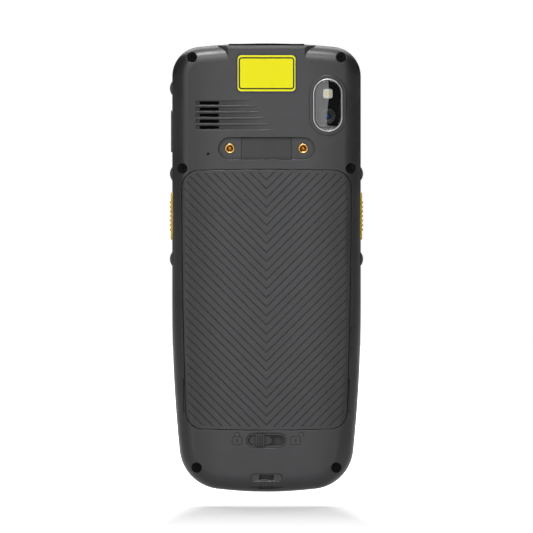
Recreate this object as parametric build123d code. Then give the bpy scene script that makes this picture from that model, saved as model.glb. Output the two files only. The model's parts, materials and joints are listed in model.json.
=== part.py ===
"""Portable barcode data terminal, in millimetres.

The terminal stands on its lower end. X runs across it, Y from the screen side (-Y) to the back (+Y) and
Z up to the scanner end. The origin is the middle of the base. Right means +X, the right hand of
somebody who looks at the screen.
"""
from build123d import *
from math import radians, sqrt, tan
import os

# ---------------------------------------------------------------- overall form
length = 168.4            # lower end to scanner end
width = 70.8              # over the side walls, without the bumps
depth = 18.4              # screen side to the middle of the back
wall = 2.0                # side walls of both shells
back_wall = 2.0
front_wall = 2.0
base_arc_radius = 160.0
base_corner_radius = 16.0
base_draw_in = 4.2        # from the side walls to the lower end's half width, before its corners are rounded
waist_z = 70.0            # the sides are straight above this height and draw in below it
top_arc_radius = 236.0
top_corner_radius = 11.0
back_edge_radius = 6.0
front_edge_radius = 2.0
inner_edge_radius = 4.0
rim_step = 0.3            # the back shell is this much smaller than the front shell, all round
parting_y = -3.0          # plane where the two shells meet

half_width = width / 2
base_half_width = half_width - base_draw_in
front_y = -depth / 2
back_y = depth / 2
inner_back_y = back_y - back_wall
inner_front_y = front_y + front_wall
loose_gap = 0.3           # between pieces that move past each other
seat_gap = 0.05           # between pieces that are only laid together
cut_over = 1.0            # how far a cut runs past the face that it opens
weld = 0.1                # how far joined forms run into each other

# ---------------------------------------------------------------- stack behind the keys and the screen
key_travel = 0.5
key_flange_thick = 0.45
mat_thick = 0.3
dome_thick = 0.25
keypad_board_thick = 0.5
midframe_thick = 0.6
standoff_height = 0.3
main_board_thick = 0.8
board_to_bay = 0.7
bay_wall = 1.2
bay_floor_thick = 1.0

key_flange_y = inner_front_y + loose_gap
key_back_y = key_flange_y + key_flange_thick
mat_y = key_back_y + key_travel + loose_gap
dome_y = mat_y + mat_thick
keypad_board_y = dome_y + dome_thick
midframe_y = keypad_board_y + keypad_board_thick
standoff_y = midframe_y + midframe_thick
main_board_y = standoff_y + standoff_height
board_back_y = main_board_y + main_board_thick
bay_outer_y = board_back_y + board_to_bay
bay_floor_y = bay_outer_y + bay_floor_thick

# ---------------------------------------------------------------- battery cover, gasket and battery
cover_top_z = length - 47.7
cover_bottom_z = 23.6
cover_top_half = half_width - 3.9
cover_waist_half = half_width - 4.3
cover_bottom_half = base_half_width - 1.5
cover_arch = 0.6          # rise of the middle of the cover's upper and lower edges
cover_corner_radius = 6.4
cover_thick = 2.0
cover_gap = 0.3
gasket_thick = 0.5
gasket_width = 1.2
gasket_inset = 0.4        # from the bay's edge to the gasket
ledge_thick = 1.3
ledge_wall = 1.0
groove_width = 0.42
groove_depth = 0.25
groove_pitch = 3.39
groove_first_z = cover_top_z - 4.1    # tip of the uppermost chevron
groove_margin = 1.0       # plain border around the chevrons
bay_half_width = half_width - 7.6
bay_corner = 3.0
bay_top_z = cover_top_z - 3.5
bay_bottom_z = cover_bottom_z + 3.4
pack_side_gap = 0.4
pack_bottom_gap = 0.95    # room for the lower end to swing out
pack_edge_radius = 0.8
pack_to_cover = 0.5
hook_centres = (-18.0, 0.0, 18.0)
hook_width = 6.0
hook_reach = 1.6
hook_thick = 0.9
hook_pocket_depth = 1.0   # below the cover's inner face
hook_pocket_run = 3.0     # above and below the hinge line
hinge_lift = 0.05         # hinge line above the middle of the back
nail_notch_low_z = cover_bottom_z + 6.3
nail_notch_high_z = nail_notch_low_z + 12.6
nail_notch_width = 1.2
nail_notch_depth = 2.6

cover_inner_y = back_y - cover_thick
ledge_y = cover_inner_y - gasket_thick - loose_gap
hinge_y = back_y + hinge_lift
hinge_z = cover_top_z

# ---------------------------------------------------------------- latch
latch_z = cover_bottom_z - 4.0
latch_recess = (15.1, 5.9, 0.6)     # length, height, depth
latch_slot = (13.5, 3.9)            # length, height of the slot through the wall
latch_travel = 4.4
latch_knob_height = 3.3
latch_flange_over = 0.9             # flange beyond the knob, each end
latch_flange_high = 4.7
latch_flange_thick = 0.7
latch_grip = (3.3, 4.5)
latch_grip_rise = 0.45              # above the floor of the recess
latch_rib_count = 4
latch_rib_width = 0.35
latch_grip_offset = 0.15            # grip's middle from the knob's middle
latch_tongue_tip_z = cover_bottom_z + 1.3
latch_knob_sink = 0.1               # knob below the floor of the recess
latch_keeper = (1.6, 1.2)           # width and height of the lug on the cover
latch_keeper_gap = 0.45
detent_thick = 0.25
detent_width = 2.0
detent_post = 2.0

# ---------------------------------------------------------------- scanner end
plateau_top_half = 14.3
plateau_foot_half = 18.2
plateau_drop = 3.7
plateau_low_z = length - 18.4
window_half = 14.1
window_tilt = 8.0
window_front_y = -1.6
window_run = 7.6
window_thick = 1.0
window_lip_y = -2.6
window_rim = 1.6
window_back_round = 0.8
engine_half = 11.0
engine_high_z = length - 4.9
engine_low_z = engine_high_z - 11.5
engine_back_y = 5.2
engine_optics = ((-5.5, 2.6), (4.5, 1.8))    # x and radius
engine_optic_depth = 0.8
label_size = (22.4, 14.3)
label_z = length - 11.7
label_thick = 0.15
label_corner = 1.5

# ---------------------------------------------------------------- camera and flash
camera_x = 12.5 - half_width
camera_z = length - 23.65
camera_pill = (10.1, 18.9)
bezel_width = 0.55
bezel_lip = 0.6           # above the back
bezel_round = 0.2
camera_pad_width = 1.3
camera_pad_round = 0.25
camera_pad_rise = 0.3      # the pad above the back
camera_window_thick = 0.8
camera_window_sink = 0.15
camera_mask_thick = 0.5
lens_z = camera_z - 4.15
lens_barrel_radius = 2.8
lens_barrel_gap = 0.1
lens_radius = 1.05
lens_sink = 1.0            # bottom of the lens's seat below the mask
lens_cup = (0.6, 0.4)      # ledge round the lens, its width and depth
lens_drop = 0.25           # top of the lens below the mask
lens_round = 0.35
flash_z = camera_z + 4.35
flash_size = 3.4
flash_corner = 0.75
flash_gap = 0.05
camera_body = 8.4
camera_body_low_y = 2.0

# ---------------------------------------------------------------- loudspeaker and microphone
speaker_slot_outer_x = half_width - 10.4
speaker_slot_inner_x = speaker_slot_outer_x - 7.3
speaker_slot_height = 1.2
speaker_slot_top_z = length - 22.8
speaker_slot_pitch = 2.28
speaker_slot_count = 5
scoop_outer_x = speaker_slot_outer_x + 1.5
scoop_height = 1.8
scoop_depth = 0.55
scoop_top_end_x = 4.7
scoop_bottom_end_x = -2.8
speaker_body = (11.5, 13.0, 3.7)
speaker_mesh_thick = 0.35
speaker_rim = 1.0
speaker_cone_corner = 2.5
speaker_cone_depth = 0.8
mic_radius = 0.5
mic_x = half_width - 13.65
mic_z = length - 41.9

# ---------------------------------------------------------------- grip recess
grip_z = length - 39.75
grip_recess = (36.0, 8.4, 0.9)      # length, height, depth
grip_insert_spacing = 27.4
grip_insert_radius = 1.95
grip_insert_bore = 1.125
grip_insert_length = 4.0
grip_pocket = (19.0, 0.5)           # length and depth of the sunk middle, as high as the recess
grip_plate_thick = 0.25
grip_boss_radius = 3.0

# ---------------------------------------------------------------- screws
# x, z and depth of the head below the back
screw_sites = (
    (half_width - 7.5, length - 5.7, 1.5),
    (half_width - 3.9, cover_top_z + 0.5, 1.9),
    (base_half_width - 5.1, 9.45, 1.4),
)
screw_head_radius = 1.75
screw_head_height = 1.2
screw_shank_radius = 1.0
screw_tip_y = -6.4
screw_socket_radius = 0.8
screw_socket_depth = 0.7
screw_hole_gap = 0.2
screw_boss_radius = 2.8
front_boss_radius = 2.4

# ---------------------------------------------------------------- side keys, rocker and bumps
side_key_y = 0.2
side_key_height = 4.2
side_key_proud = 0.45
side_key_travel = 0.5
side_flange_over = 0.8
side_flange_thick = 0.9
side_key_corner = 1.2
side_key_edge = 0.3
scan_key_high_z = length - 56.1
scan_key_low_z = scan_key_high_z - 17.7
scan_rib_count = 7
scan_rib_low_z = scan_key_low_z + 3.8
scan_rib_high_z = scan_key_high_z - 3.7
scan_rib_inset = 0.7
scan_rib_width = 0.8
scan_rib_proud = 0.8
rocker_high_z = length - 25.3
rocker_low_z = rocker_high_z - 15.7
rocker_proud = 0.4
rocker_pin_radius = 0.6
rocker_pin_gap = 0.05
rocker_pin_inset = 2.9    # pin's middle inside the outer wall
rocker_eye_radius = 1.3
rocker_ear_thick = 1.0
rocker_ear_reach = 1.5
rocker_foot = 1.4          # height of the foot over each switch
rocker_foot_gap = 0.5      # from a foot to its switch
switch_size = (2.0, 3.0, 3.4)       # across, deep, high
switch_sites = (rocker_low_z + 3.9, rocker_high_z - 3.9)
switch_strip_thick = 0.6
switch_strip_inset = 0.6            # strip's outer face from the board's edge
bump_height = 4.8
bump_proud = 0.8
bump_run = 5.0
bump_over_key = scan_key_high_z + 7.0
bump_under_key = scan_key_low_z - 7.2
bump_sites = (
    (1, rocker_high_z + 8.2),
    (1, bump_over_key),
    (1, bump_under_key),
    (-1, bump_over_key),
    (-1, bump_under_key),
)

# ---------------------------------------------------------------- lanyard bar
lanyard_slot = (5.4, 1.8)
lanyard_slot_z = 5.8
lanyard_recess = (12.0, 3.0, 0.45)
lanyard_mouth_half = 6.9
lanyard_mouth_z = 1.95
lanyard_mouth_rise = 0.5
lanyard_tunnel_y = 5.4
lanyard_bar_y = 6.6
lanyard_wall = 1.2

# ---------------------------------------------------------------- keypad
keypad_half_width = half_width - 7.2
keypad_margin = 0.9       # board beyond the keys, all round
key_column_count = 4
key_gap = (2.2, 1.8)      # between neighbouring keys, across and along
key_wide = (2 * (keypad_half_width - keypad_margin) + key_gap[0]) / key_column_count - key_gap[0]
key_high = 6.4
key_pitch = (key_wide + key_gap[0], key_high + key_gap[1])
lowest_row_z = 16.4
key_columns = [(number - (key_column_count - 1) / 2) * key_pitch[0] for number in range(key_column_count)]
key_rows = [lowest_row_z + number * key_pitch[1] for number in (3, 2, 1, 0)]
function_row_z = key_rows[0] + key_pitch[1]
scan_bar_width = 2 * key_wide + key_gap[0]
key_corner = 1.6
key_proud = 0.6
key_side_gap = 0.35
key_flange_over = 0.45
key_top_round = 0.45
dome_radius = 2.2
keypad_low_z = lowest_row_z - key_high / 2 - keypad_margin
keypad_high_z = function_row_z + key_high / 2 + keypad_margin

# ---------------------------------------------------------------- screen
glass_half_width = half_width - 4.4
glass_low_z = function_row_z + 7.3
glass_high_z = length - 9.9
glass_corner = 4.0
glass_thick = 1.1
glass_sink = 0.05
glass_edge = 0.25
glass_ledge = 2.4
display_half_width = glass_half_width - 3.0
display_low_z = glass_low_z + 4.0
display_high_z = glass_high_z - 4.5
earpiece_slot = (10.0, 1.2)
earpiece_z = glass_high_z + 3.9
earpiece_body = (12.0, 3.2, 2.4)

# ---------------------------------------------------------------- boards and other inner pieces
board_half_width = half_width - 7.9
board_wide_half = half_width - 5.8
board_wide_low_z = rocker_low_z - 1.4
board_wide_high_z = rocker_high_z + 1.9
board_low_z = 13.0
board_high_z = length - 10.9
board_tail_half = 9.0
board_tail_z = 3.2
midframe_half_width = half_width - 7.0
standoff_radius = 1.6
standoff_x = midframe_half_width - 4.4
standoff_heights = (board_low_z + 7.0, board_low_z + 62.0, board_high_z - 9.5)
shield_high_z = board_high_z - 8.0
shield_sites = ((1.5 - board_half_width, -3.0, shield_high_z - 26.5), (1.0, 20.0, shield_high_z - 16.0))
shield_height = 1.5
shield_corner = 0.8
motor_radius = 4.0
motor_thick = 2.7
motor_x = 11.0
motor_z = shield_sites[1][2] - motor_radius - 2.2
usb_width = 8.94
usb_height = 3.26
usb_length = 7.3
usb_shell = 0.35
usb_low_z = 0.7
usb_gap = 0.25
usb_tongue = (6.6, 0.7)             # width and thickness
usb_tongue_inset = (0.8, 0.5)       # from the mouth and from the far end
connector_size = (12.0, 3.0, 3.0)
connector_low_y = 0.6
connector_blade_count = 5
connector_blade_pitch = 2.0
connector_blade_width = 0.8
connector_blade_sink = 0.5
connector_rim = 0.6
seal_inset = 0.6
seal_width = 0.8
seal_height = 0.6


# ---------------------------------------------------------------- helpers
def prism(sketch, low_y, high_y):
    """A shape drawn in X and Z, given depth from low_y to high_y."""
    plane = Plane(origin=(0, high_y, 0), x_dir=(1, 0, 0), z_dir=(0, -1, 0))
    return extrude(plane * sketch, high_y - low_y, dir=(0, -1, 0))


def block(low_x, high_x, low_y, high_y, low_z, high_z):
    """A box between two corners."""
    middle = ((low_x + high_x) / 2, (low_y + high_y) / 2, (low_z + high_z) / 2)
    return Pos(*middle) * Box(high_x - low_x, high_y - low_y, high_z - low_z)


def post(x, z, radius, low_y, high_y):
    """A round post that runs from front to back."""
    return prism(Pos(x, z) * Circle(radius), low_y, high_y)


def plate(x, z, size, corner):
    """A rectangle with round corners, centred on x and z."""
    return Pos(x, z) * RectangleRounded(size[0], size[1], corner)


def pill(x, z, size):
    """A slot with round ends, upright where it is taller than wide."""
    if size[0] > size[1]:
        return Pos(x, z) * SlotOverall(size[0], size[1])
    return Pos(x, z) * SlotOverall(size[1], size[0], rotation=90)


def save(name, shape):
    """Writes one sub-part, as its separate solids, to its own file."""
    export_step(Compound(shape.solids()), f"parts/{name}.step")


# ---------------------------------------------------------------- outlines
def terminal_outline():
    """Straight sides above the waist, an arched base and top, and rounded corners."""
    foot_z = base_arc_radius - sqrt(base_arc_radius**2 - base_half_width**2)
    shoulder_z = length - (top_arc_radius - sqrt(top_arc_radius**2 - half_width**2))
    run = half_width - base_half_width
    side_radius = ((waist_z - foot_z) ** 2 + run**2) / (2 * run)
    middle_z = (waist_z + foot_z) / 2
    middle_x = half_width - side_radius + sqrt(side_radius**2 - (waist_z - middle_z) ** 2)
    edges = Curve() + [
        ThreePointArc((-base_half_width, foot_z), (0, 0), (base_half_width, foot_z)),
        ThreePointArc((base_half_width, foot_z), (middle_x, middle_z), (half_width, waist_z)),
        Line((half_width, waist_z), (half_width, shoulder_z)),
        ThreePointArc((half_width, shoulder_z), (0, length), (-half_width, shoulder_z)),
        Line((-half_width, shoulder_z), (-half_width, waist_z)),
        ThreePointArc((-half_width, waist_z), (-middle_x, middle_z), (-base_half_width, foot_z)),
    ]
    face = make_face(edges)
    face = fillet(face.vertices().group_by(Axis.Y)[0], base_corner_radius)
    return fillet(face.vertices().group_by(Axis.Y)[-1], top_corner_radius)


def cover_outline(grow=0.0):
    """Battery cover, grown all round: drawn-in sides, arched ends and rounded corners."""
    top_half = cover_top_half + grow
    bottom_half = cover_bottom_half + grow
    high = cover_top_z - cover_arch + grow
    low = cover_bottom_z + cover_arch - grow
    waist = (cover_waist_half + grow, (cover_top_z + cover_bottom_z) / 2)
    edges = Curve() + [
        ThreePointArc((-bottom_half, low), (0, cover_bottom_z - grow), (bottom_half, low)),
        ThreePointArc((bottom_half, low), waist, (top_half, high)),
        ThreePointArc((top_half, high), (0, cover_top_z + grow), (-top_half, high)),
        ThreePointArc((-top_half, high), (-waist[0], waist[1]), (-bottom_half, low)),
    ]
    face = make_face(edges)
    return fillet(face.vertices(), cover_corner_radius + grow)


shell_outline = terminal_outline()
back_outline = offset(shell_outline, -rim_step)
lid_outline = cover_outline()


# ---------------------------------------------------------------- back shell
def window_plane(y):
    """Height of the slanted step that the scan window lies on."""
    return length - (y - window_lip_y) * tan(radians(window_tilt))


def window_cut(start_y, half):
    """Room above the slanted step from start_y backwards, with the step's back edge eased."""
    ease_y = back_y - window_back_round
    ease_z = window_plane(ease_y)
    far = 5 * cut_over
    points = (
        (start_y, window_plane(start_y)), (ease_y, ease_z), (back_y, ease_z - window_back_round),
        (back_y + far, ease_z - window_back_round), (back_y + far, length + far), (start_y, length + far),
    )
    section = make_face(Polyline(*points, close=True))
    return extrude(Plane.YZ * section, half, both=True)


def rounded_form(inset):
    """The back with its edges rounded, drawn in by inset all over."""
    blank = prism(offset(back_outline, -inset) if inset else back_outline, parting_y, back_y - inset)
    return fillet(blank.faces().sort_by(Axis.Y)[-1].edges(), back_edge_radius - inset)


def back_form():
    """Outer form of the back shell, with the scanner's plateau and the camera's pad."""
    low = back_y - plateau_drop
    section = Polyline(
        (-plateau_foot_half, low), (-plateau_top_half, back_y), (plateau_top_half, back_y),
        (plateau_foot_half, low), close=True,
    )
    ridge = extrude(Plane.XY.offset(plateau_low_z) * make_face(section), length - plateau_low_z)
    ridge = ridge & prism(back_outline, parting_y + wall, back_y)
    pad_size = [side + 2 * (bezel_width + camera_pad_width) for side in camera_pill]
    pad = prism(pill(camera_x, camera_z, pad_size), inner_back_y, back_y + camera_pad_rise)
    pad = fillet(pad.faces().sort_by(Axis.Y)[-1].edges(), camera_pad_round)
    form = rounded_form(0) + ridge - window_cut(window_lip_y, window_half + loose_gap)
    return form - window_cut(back_y - back_edge_radius, plateau_foot_half + wall) + pad


def tilted(low_y, run, thick, half, lift=0.0):
    """A slab that lies on the slanted step; lift raises its outer face above the step."""
    middle_y = low_y + run / 2
    slab = Box(2 * half, run, thick)
    turned = Rot(-window_tilt, 0, 0) * (Pos(0, 0, -thick / 2) * slab)
    return Pos(0, middle_y, window_plane(middle_y) + lift) * turned


outer_form = back_form()
grip_pocket_y = back_y - grip_recess[2] - grip_pocket[1]
bay_middle_z = (bay_top_z + bay_bottom_z) / 2
bay_height = bay_top_z - bay_bottom_z


def bay_outline(grow):
    """The battery bay seen from the back, grown all round."""
    size = (2 * (bay_half_width + grow), bay_height + 2 * grow)
    return plate(0, bay_middle_z, size, bay_corner + grow)


def hook_pocket(x):
    """Room for one hook of the cover, above and below the hinge line."""
    half = hook_width / 2 + loose_gap
    low_y = cover_inner_y - hook_pocket_depth
    high_y = cover_inner_y + hook_thick + loose_gap
    return block(x - half, x + half, low_y, high_y, hinge_z - hook_pocket_run, hinge_z + hook_pocket_run)


def latch_knob_span():
    """The knob's two ends along X, locked."""
    high = latch_slot[0] / 2 - loose_gap
    return high - (latch_slot[0] - 2 * loose_gap - latch_travel), high


def side_window(side, low_z, high_z):
    """Opening in a side wall for a key or the rocker."""
    half = side_key_height / 2 + loose_gap
    low_x, high_x = sorted((side * (half_width - wall - cut_over), side * (half_width + cut_over)))
    return block(low_x, high_x, side_key_y - half, side_key_y + half, low_z - loose_gap, high_z + loose_gap)


def bump(side, z):
    """A low rounded bump on a side wall."""
    radius = ((bump_height / 2) ** 2 + bump_proud**2) / (2 * bump_proud)
    drum = post(side * (half_width + bump_proud - radius), z, radius, side_key_y - bump_run / 2,
                side_key_y + bump_run / 2)
    low_x, high_x = sorted((side * (half_width - wall), side * (half_width + bump_proud)))
    return drum & block(low_x, high_x, parting_y, back_y, z - radius, z + radius)


def scoop(number):
    """One groove at a loudspeaker slot, deep at the slot and running out to nothing."""
    share = number / (speaker_slot_count - 1)
    end_x = scoop_top_end_x + share * (scoop_bottom_end_x - scoop_top_end_x)
    z = speaker_slot_top_z - number * speaker_slot_pitch
    deep_y = back_y - scoop_depth
    points = (
        (end_x, back_y), (speaker_slot_inner_x, deep_y), (scoop_outer_x, deep_y),
        (scoop_outer_x, back_y + cut_over), (end_x, back_y + cut_over),
    )
    section = make_face(Polyline(*points, close=True))
    groove = extrude(Plane.XY.offset(z - scoop_height / 2) * section, scoop_height)
    far_x = end_x - scoop_height
    outline = pill((scoop_outer_x + far_x) / 2, z, (scoop_outer_x - far_x, scoop_height))
    return groove & prism(outline, deep_y - cut_over, back_y + cut_over)


def make_rear_housing():
    """Back shell: wall, battery bay, seats, bosses and every opening in the back and sides."""
    inner = prism(offset(back_outline, -wall), parting_y, inner_back_y)
    inner = fillet(inner.faces().sort_by(Axis.Y)[-1].edges(), inner_edge_radius)
    ledge = prism(cover_outline(cover_gap + ledge_wall), ledge_y - ledge_thick, back_y) & outer_form
    bay_outer = prism(bay_outline(bay_wall), bay_outer_y, ledge_y)
    shell = outer_form - inner + ledge + bay_outer
    for x, z, sink in screw_sites:
        for side in (1, -1):
            shell += post(side * x, z, screw_boss_radius, parting_y, inner_back_y) & outer_form
    for side in (1, -1):
        x = side * grip_insert_spacing / 2
        low_y = back_y - grip_recess[2] - grip_insert_length - wall
        shell += post(x, grip_z, grip_boss_radius, low_y, inner_back_y)
    boss_half = lanyard_slot[0] / 2 + lanyard_wall
    boss_low = lanyard_mouth_z - lanyard_mouth_rise
    boss_high = lanyard_slot_z + lanyard_slot[1] / 2 + lanyard_wall
    shell += block(-boss_half, boss_half, lanyard_tunnel_y - lanyard_wall, inner_back_y, boss_low, boss_high)
    for side in (1, -1):
        x = side * (latch_slot[0] / 2 + latch_flange_over + loose_gap + detent_post)
        shell += block(x - detent_post / 2, x + detent_post / 2, detent_y, inner_back_y,
                       latch_z - detent_width / 2, latch_z + detent_width / 2)
    for side, z in bump_sites:
        shell += bump(side, z)
    shell += rocker_ears()
    # battery bay, cover seat and latch
    shell -= prism(cover_outline(cover_gap), ledge_y, back_y + cut_over)
    shell -= prism(bay_outline(0), bay_floor_y, back_y)
    for x in hook_centres:
        shell -= hook_pocket(x)
    knob_low, knob_high = latch_knob_span()
    shell -= prism(pill(0, latch_z, latch_recess), back_y - latch_recess[2], back_y + cut_over)
    shell -= prism(pill(0, latch_z, latch_slot), inner_back_y - cut_over, back_y + cut_over)
    room_low = knob_low - latch_travel - loose_gap
    room_high = knob_high + latch_keeper_gap + latch_keeper[0] + loose_gap
    shell -= block(room_low, room_high, latch_flange_y - loose_gap, cover_inner_y, latch_z,
                   latch_tongue_tip_z + loose_gap)
    for side in (1, -1):
        x = side * (cover_bottom_half + cover_gap)
        shell -= block(x - nail_notch_width, x + nail_notch_width, back_y - nail_notch_depth,
                       back_y + cut_over, nail_notch_low_z, nail_notch_high_z)
    # connector, keys and rocker
    connector = connector_size
    shell -= block(-connector[0] / 2, connector[0] / 2, connector_low_y, connector_low_y + connector[1],
                   bay_top_z - cut_over, bay_top_z + bay_wall + cut_over)
    for side in (1, -1):
        shell -= side_window(side, scan_key_low_z, scan_key_high_z)
    shell -= side_window(1, rocker_low_z, rocker_high_z)
    # screws
    for x, z, sink in screw_sites:
        for side in (1, -1):
            seat_y = back_y - sink - screw_head_height
            shell -= post(side * x, z, screw_head_radius + screw_hole_gap, seat_y, back_y + cut_over)
            shell -= post(side * x, z, screw_shank_radius + seat_gap, parting_y - cut_over, seat_y)
    # scanner end
    shell -= tilted(window_front_y, window_run, window_thick, window_half)
    run = window_run - 2 * window_rim
    shell -= tilted(window_front_y + window_rim, run, 3 * wall, window_half - window_rim)
    # camera, flash, loudspeaker, microphone
    bezel = [side + 2 * bezel_width for side in camera_pill]
    shell -= prism(pill(camera_x, camera_z, bezel), camera_seat_y, back_y + cut_over)
    shell -= post(camera_x, lens_z, lens_barrel_radius + lens_barrel_gap, inner_back_y - cut_over, back_y)
    shell -= prism(flash_outline(flash_gap), inner_back_y - cut_over, back_y)
    slot_length = speaker_slot_outer_x - speaker_slot_inner_x
    slot_x = (speaker_slot_outer_x + speaker_slot_inner_x) / 2
    for number in range(speaker_slot_count):
        z = speaker_slot_top_z - number * speaker_slot_pitch
        shell -= scoop(number)
        slot = pill(slot_x, z, (slot_length, speaker_slot_height))
        shell -= prism(slot, inner_back_y - cut_over, back_y + cut_over)
    shell -= post(mic_x, mic_z, mic_radius, inner_back_y - cut_over, back_y + cut_over)
    # grip recess and the holes of its inserts
    shell -= prism(pill(0, grip_z, grip_recess), back_y - grip_recess[2], back_y + cut_over)
    half_x, half_z = grip_pocket[0] / 2, grip_recess[1] / 2
    shell -= block(-half_x, half_x, grip_pocket_y, back_y, grip_z - half_z, grip_z + half_z)
    for side in (1, -1):
        x = side * grip_insert_spacing / 2
        shell -= post(x, grip_z, grip_insert_radius, back_y - grip_recess[2] - grip_insert_length, back_y)
    # lanyard bar and the seal's groove
    slot_low = lanyard_slot_z - lanyard_slot[1] / 2
    slot_high = lanyard_slot_z + lanyard_slot[1] / 2
    half = lanyard_slot[0] / 2
    shell -= prism(pill(0, lanyard_slot_z, lanyard_recess), back_y - lanyard_recess[2], back_y + cut_over)
    shell -= block(-half, half, lanyard_tunnel_y, back_y + cut_over, slot_low, slot_high)
    shell -= block(-half, half, lanyard_tunnel_y, lanyard_bar_y, boss_low, slot_high)
    mouth = make_face(
        ThreePointArc((-lanyard_mouth_half, lanyard_mouth_z), (0, lanyard_mouth_z + lanyard_mouth_rise),
                      (lanyard_mouth_half, lanyard_mouth_z))
        + ThreePointArc((-lanyard_mouth_half, lanyard_mouth_z), (0, lanyard_mouth_z - lanyard_mouth_rise),
                        (lanyard_mouth_half, lanyard_mouth_z))
    )
    shell -= prism(mouth, lanyard_bar_y, back_y)
    shell -= block(-half, half, lanyard_tunnel_y, back_y, boss_low, lanyard_mouth_z + lanyard_mouth_rise)
    shell -= seal_ring(seat_gap)
    return shell


def seal_ring(gap):
    """Rubber ring between the two shells, or its groove where gap is above zero."""
    outside = offset(back_outline, -seal_inset + gap)
    inside = offset(back_outline, -seal_inset - seal_width - gap)
    return prism(outside - inside, parting_y, parting_y + seal_height + gap)


# ---------------------------------------------------------------- battery cover
def make_battery_cover():
    """Lid with chevron grooves, three hooks at its upper edge and a latch lug at its lower edge."""
    lid = prism(lid_outline, cover_inner_y, back_y) & outer_form
    field = cover_outline(-groove_margin)
    reach = 2 * cover_top_half
    tall = groove_width * sqrt(2)
    bands = []
    apex = groove_first_z
    while apex > cover_bottom_z - cover_top_half:
        corners = (
            (0, apex), (reach, apex + reach), (reach, apex + reach + tall), (0, apex + tall),
            (-reach, apex + reach + tall), (-reach, apex + reach),
        )
        bands.append(make_face(Polyline(*corners, close=True)))
        apex -= groove_pitch
    pattern = Sketch() + bands & field
    lid -= prism(pattern, cover_inner_y, back_y + cut_over) - rounded_form(groove_depth)
    for x in hook_centres:
        lid += block(x - hook_width / 2, x + hook_width / 2, cover_inner_y, cover_inner_y + hook_thick,
                     hinge_z - 2 * hook_reach, hinge_z + hook_reach)
    low_x = latch_knob_span()[1] + latch_keeper_gap
    low_z = cover_bottom_z + loose_gap
    lid += block(low_x, low_x + latch_keeper[0], latch_flange_y, cover_inner_y + weld, low_z,
                 low_z + latch_keeper[1])
    return lid


def make_cover_gasket():
    """Rubber ring on the inside of the cover, round the bay."""
    outside = bay_outline(gasket_inset + gasket_width)
    inside = bay_outline(gasket_inset)
    return prism(outside - inside, cover_inner_y - gasket_thick, cover_inner_y)


def make_battery_pack():
    """Battery block with eased edges."""
    low_z = bay_bottom_z + pack_bottom_gap
    high_z = bay_top_z - loose_gap
    size = (2 * (bay_half_width - pack_side_gap), high_z - low_z)
    low_y = bay_floor_y + loose_gap
    high_y = cover_inner_y - pack_to_cover
    pack = prism(plate(0, (low_z + high_z) / 2, size, bay_corner - pack_side_gap), low_y, high_y)
    faces = pack.faces().sort_by(Axis.Y)
    return fillet(faces[0].edges() + faces[-1].edges(), pack_edge_radius)


def make_battery_connector():
    """Contact block in the bay's upper wall."""
    across, deep, high = connector_size
    gap = seat_gap
    body = block(-across / 2 + gap, across / 2 - gap, connector_low_y + gap, connector_low_y + deep - gap,
                 bay_top_z, bay_top_z + high)
    for number in range(connector_blade_count):
        x = (number - (connector_blade_count - 1) / 2) * connector_blade_pitch
        half = connector_blade_width / 2
        body -= block(x - half, x + half, connector_low_y + connector_rim,
                      connector_low_y + deep - connector_rim, bay_top_z - cut_over,
                      bay_top_z + connector_blade_sink)
    return body


# ---------------------------------------------------------------- latch
latch_flange_y = inner_back_y - loose_gap - latch_flange_thick
detent_y = latch_flange_y - loose_gap


def make_latch_slider():
    """Slider: ribbed grip and knob in the slot, flange behind the wall and a tongue towards the cover."""
    low_x, high_x = latch_knob_span()
    middle = (low_x + high_x) / 2
    knob_top = back_y - latch_recess[2] - latch_knob_sink
    flange_top = latch_flange_y + latch_flange_thick
    slider = prism(pill(middle, latch_z, (high_x - low_x, latch_knob_height)), latch_flange_y, knob_top)
    reach = latch_flange_over - loose_gap
    slider += block(low_x - reach, high_x + reach, latch_flange_y,
                    flange_top, latch_z - latch_flange_high / 2, latch_z + latch_flange_high / 2)
    slider += block(low_x, high_x, latch_flange_y, flange_top, latch_z, latch_tongue_tip_z)
    grip_x = middle + latch_grip_offset
    low_y = back_y - latch_recess[2] + loose_gap
    half_x = latch_grip[0] / 2
    slider += block(grip_x - half_x, grip_x + half_x, knob_top, low_y, latch_z - latch_knob_height / 2,
                    latch_z + latch_knob_height / 2)
    slider += block(grip_x - half_x, grip_x + half_x, low_y, low_y + latch_grip_rise,
                    latch_z - latch_grip[1] / 2, latch_z + latch_grip[1] / 2)
    pitch = latch_grip[0] / latch_rib_count
    for number in range(latch_rib_count - 1):
        x = grip_x - half_x + (number + 1) * pitch
        half = latch_rib_width / 2
        slider -= block(x - half, x + half, low_y + latch_grip_rise / 2, low_y + latch_grip_rise + cut_over,
                        latch_z - latch_grip[1], latch_z + latch_grip[1])
    return slider


def make_latch_detent():
    """Leaf spring behind the slider."""
    half = latch_slot[0] / 2 + latch_flange_over + loose_gap + 1.5 * detent_post
    return block(-half, half, detent_y - detent_thick, detent_y, latch_z - detent_width / 2,
                 latch_z + detent_width / 2)


# ---------------------------------------------------------------- side keys and rocker
def side_block(side, low_depth, high_depth, half_y, low_z, high_z):
    """A block at a side wall, between two depths measured inwards from the wall's outer face."""
    low_x, high_x = sorted((side * (half_width - high_depth), side * (half_width - low_depth)))
    return block(low_x, high_x, side_key_y - half_y, side_key_y + half_y, low_z, high_z)


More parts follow.
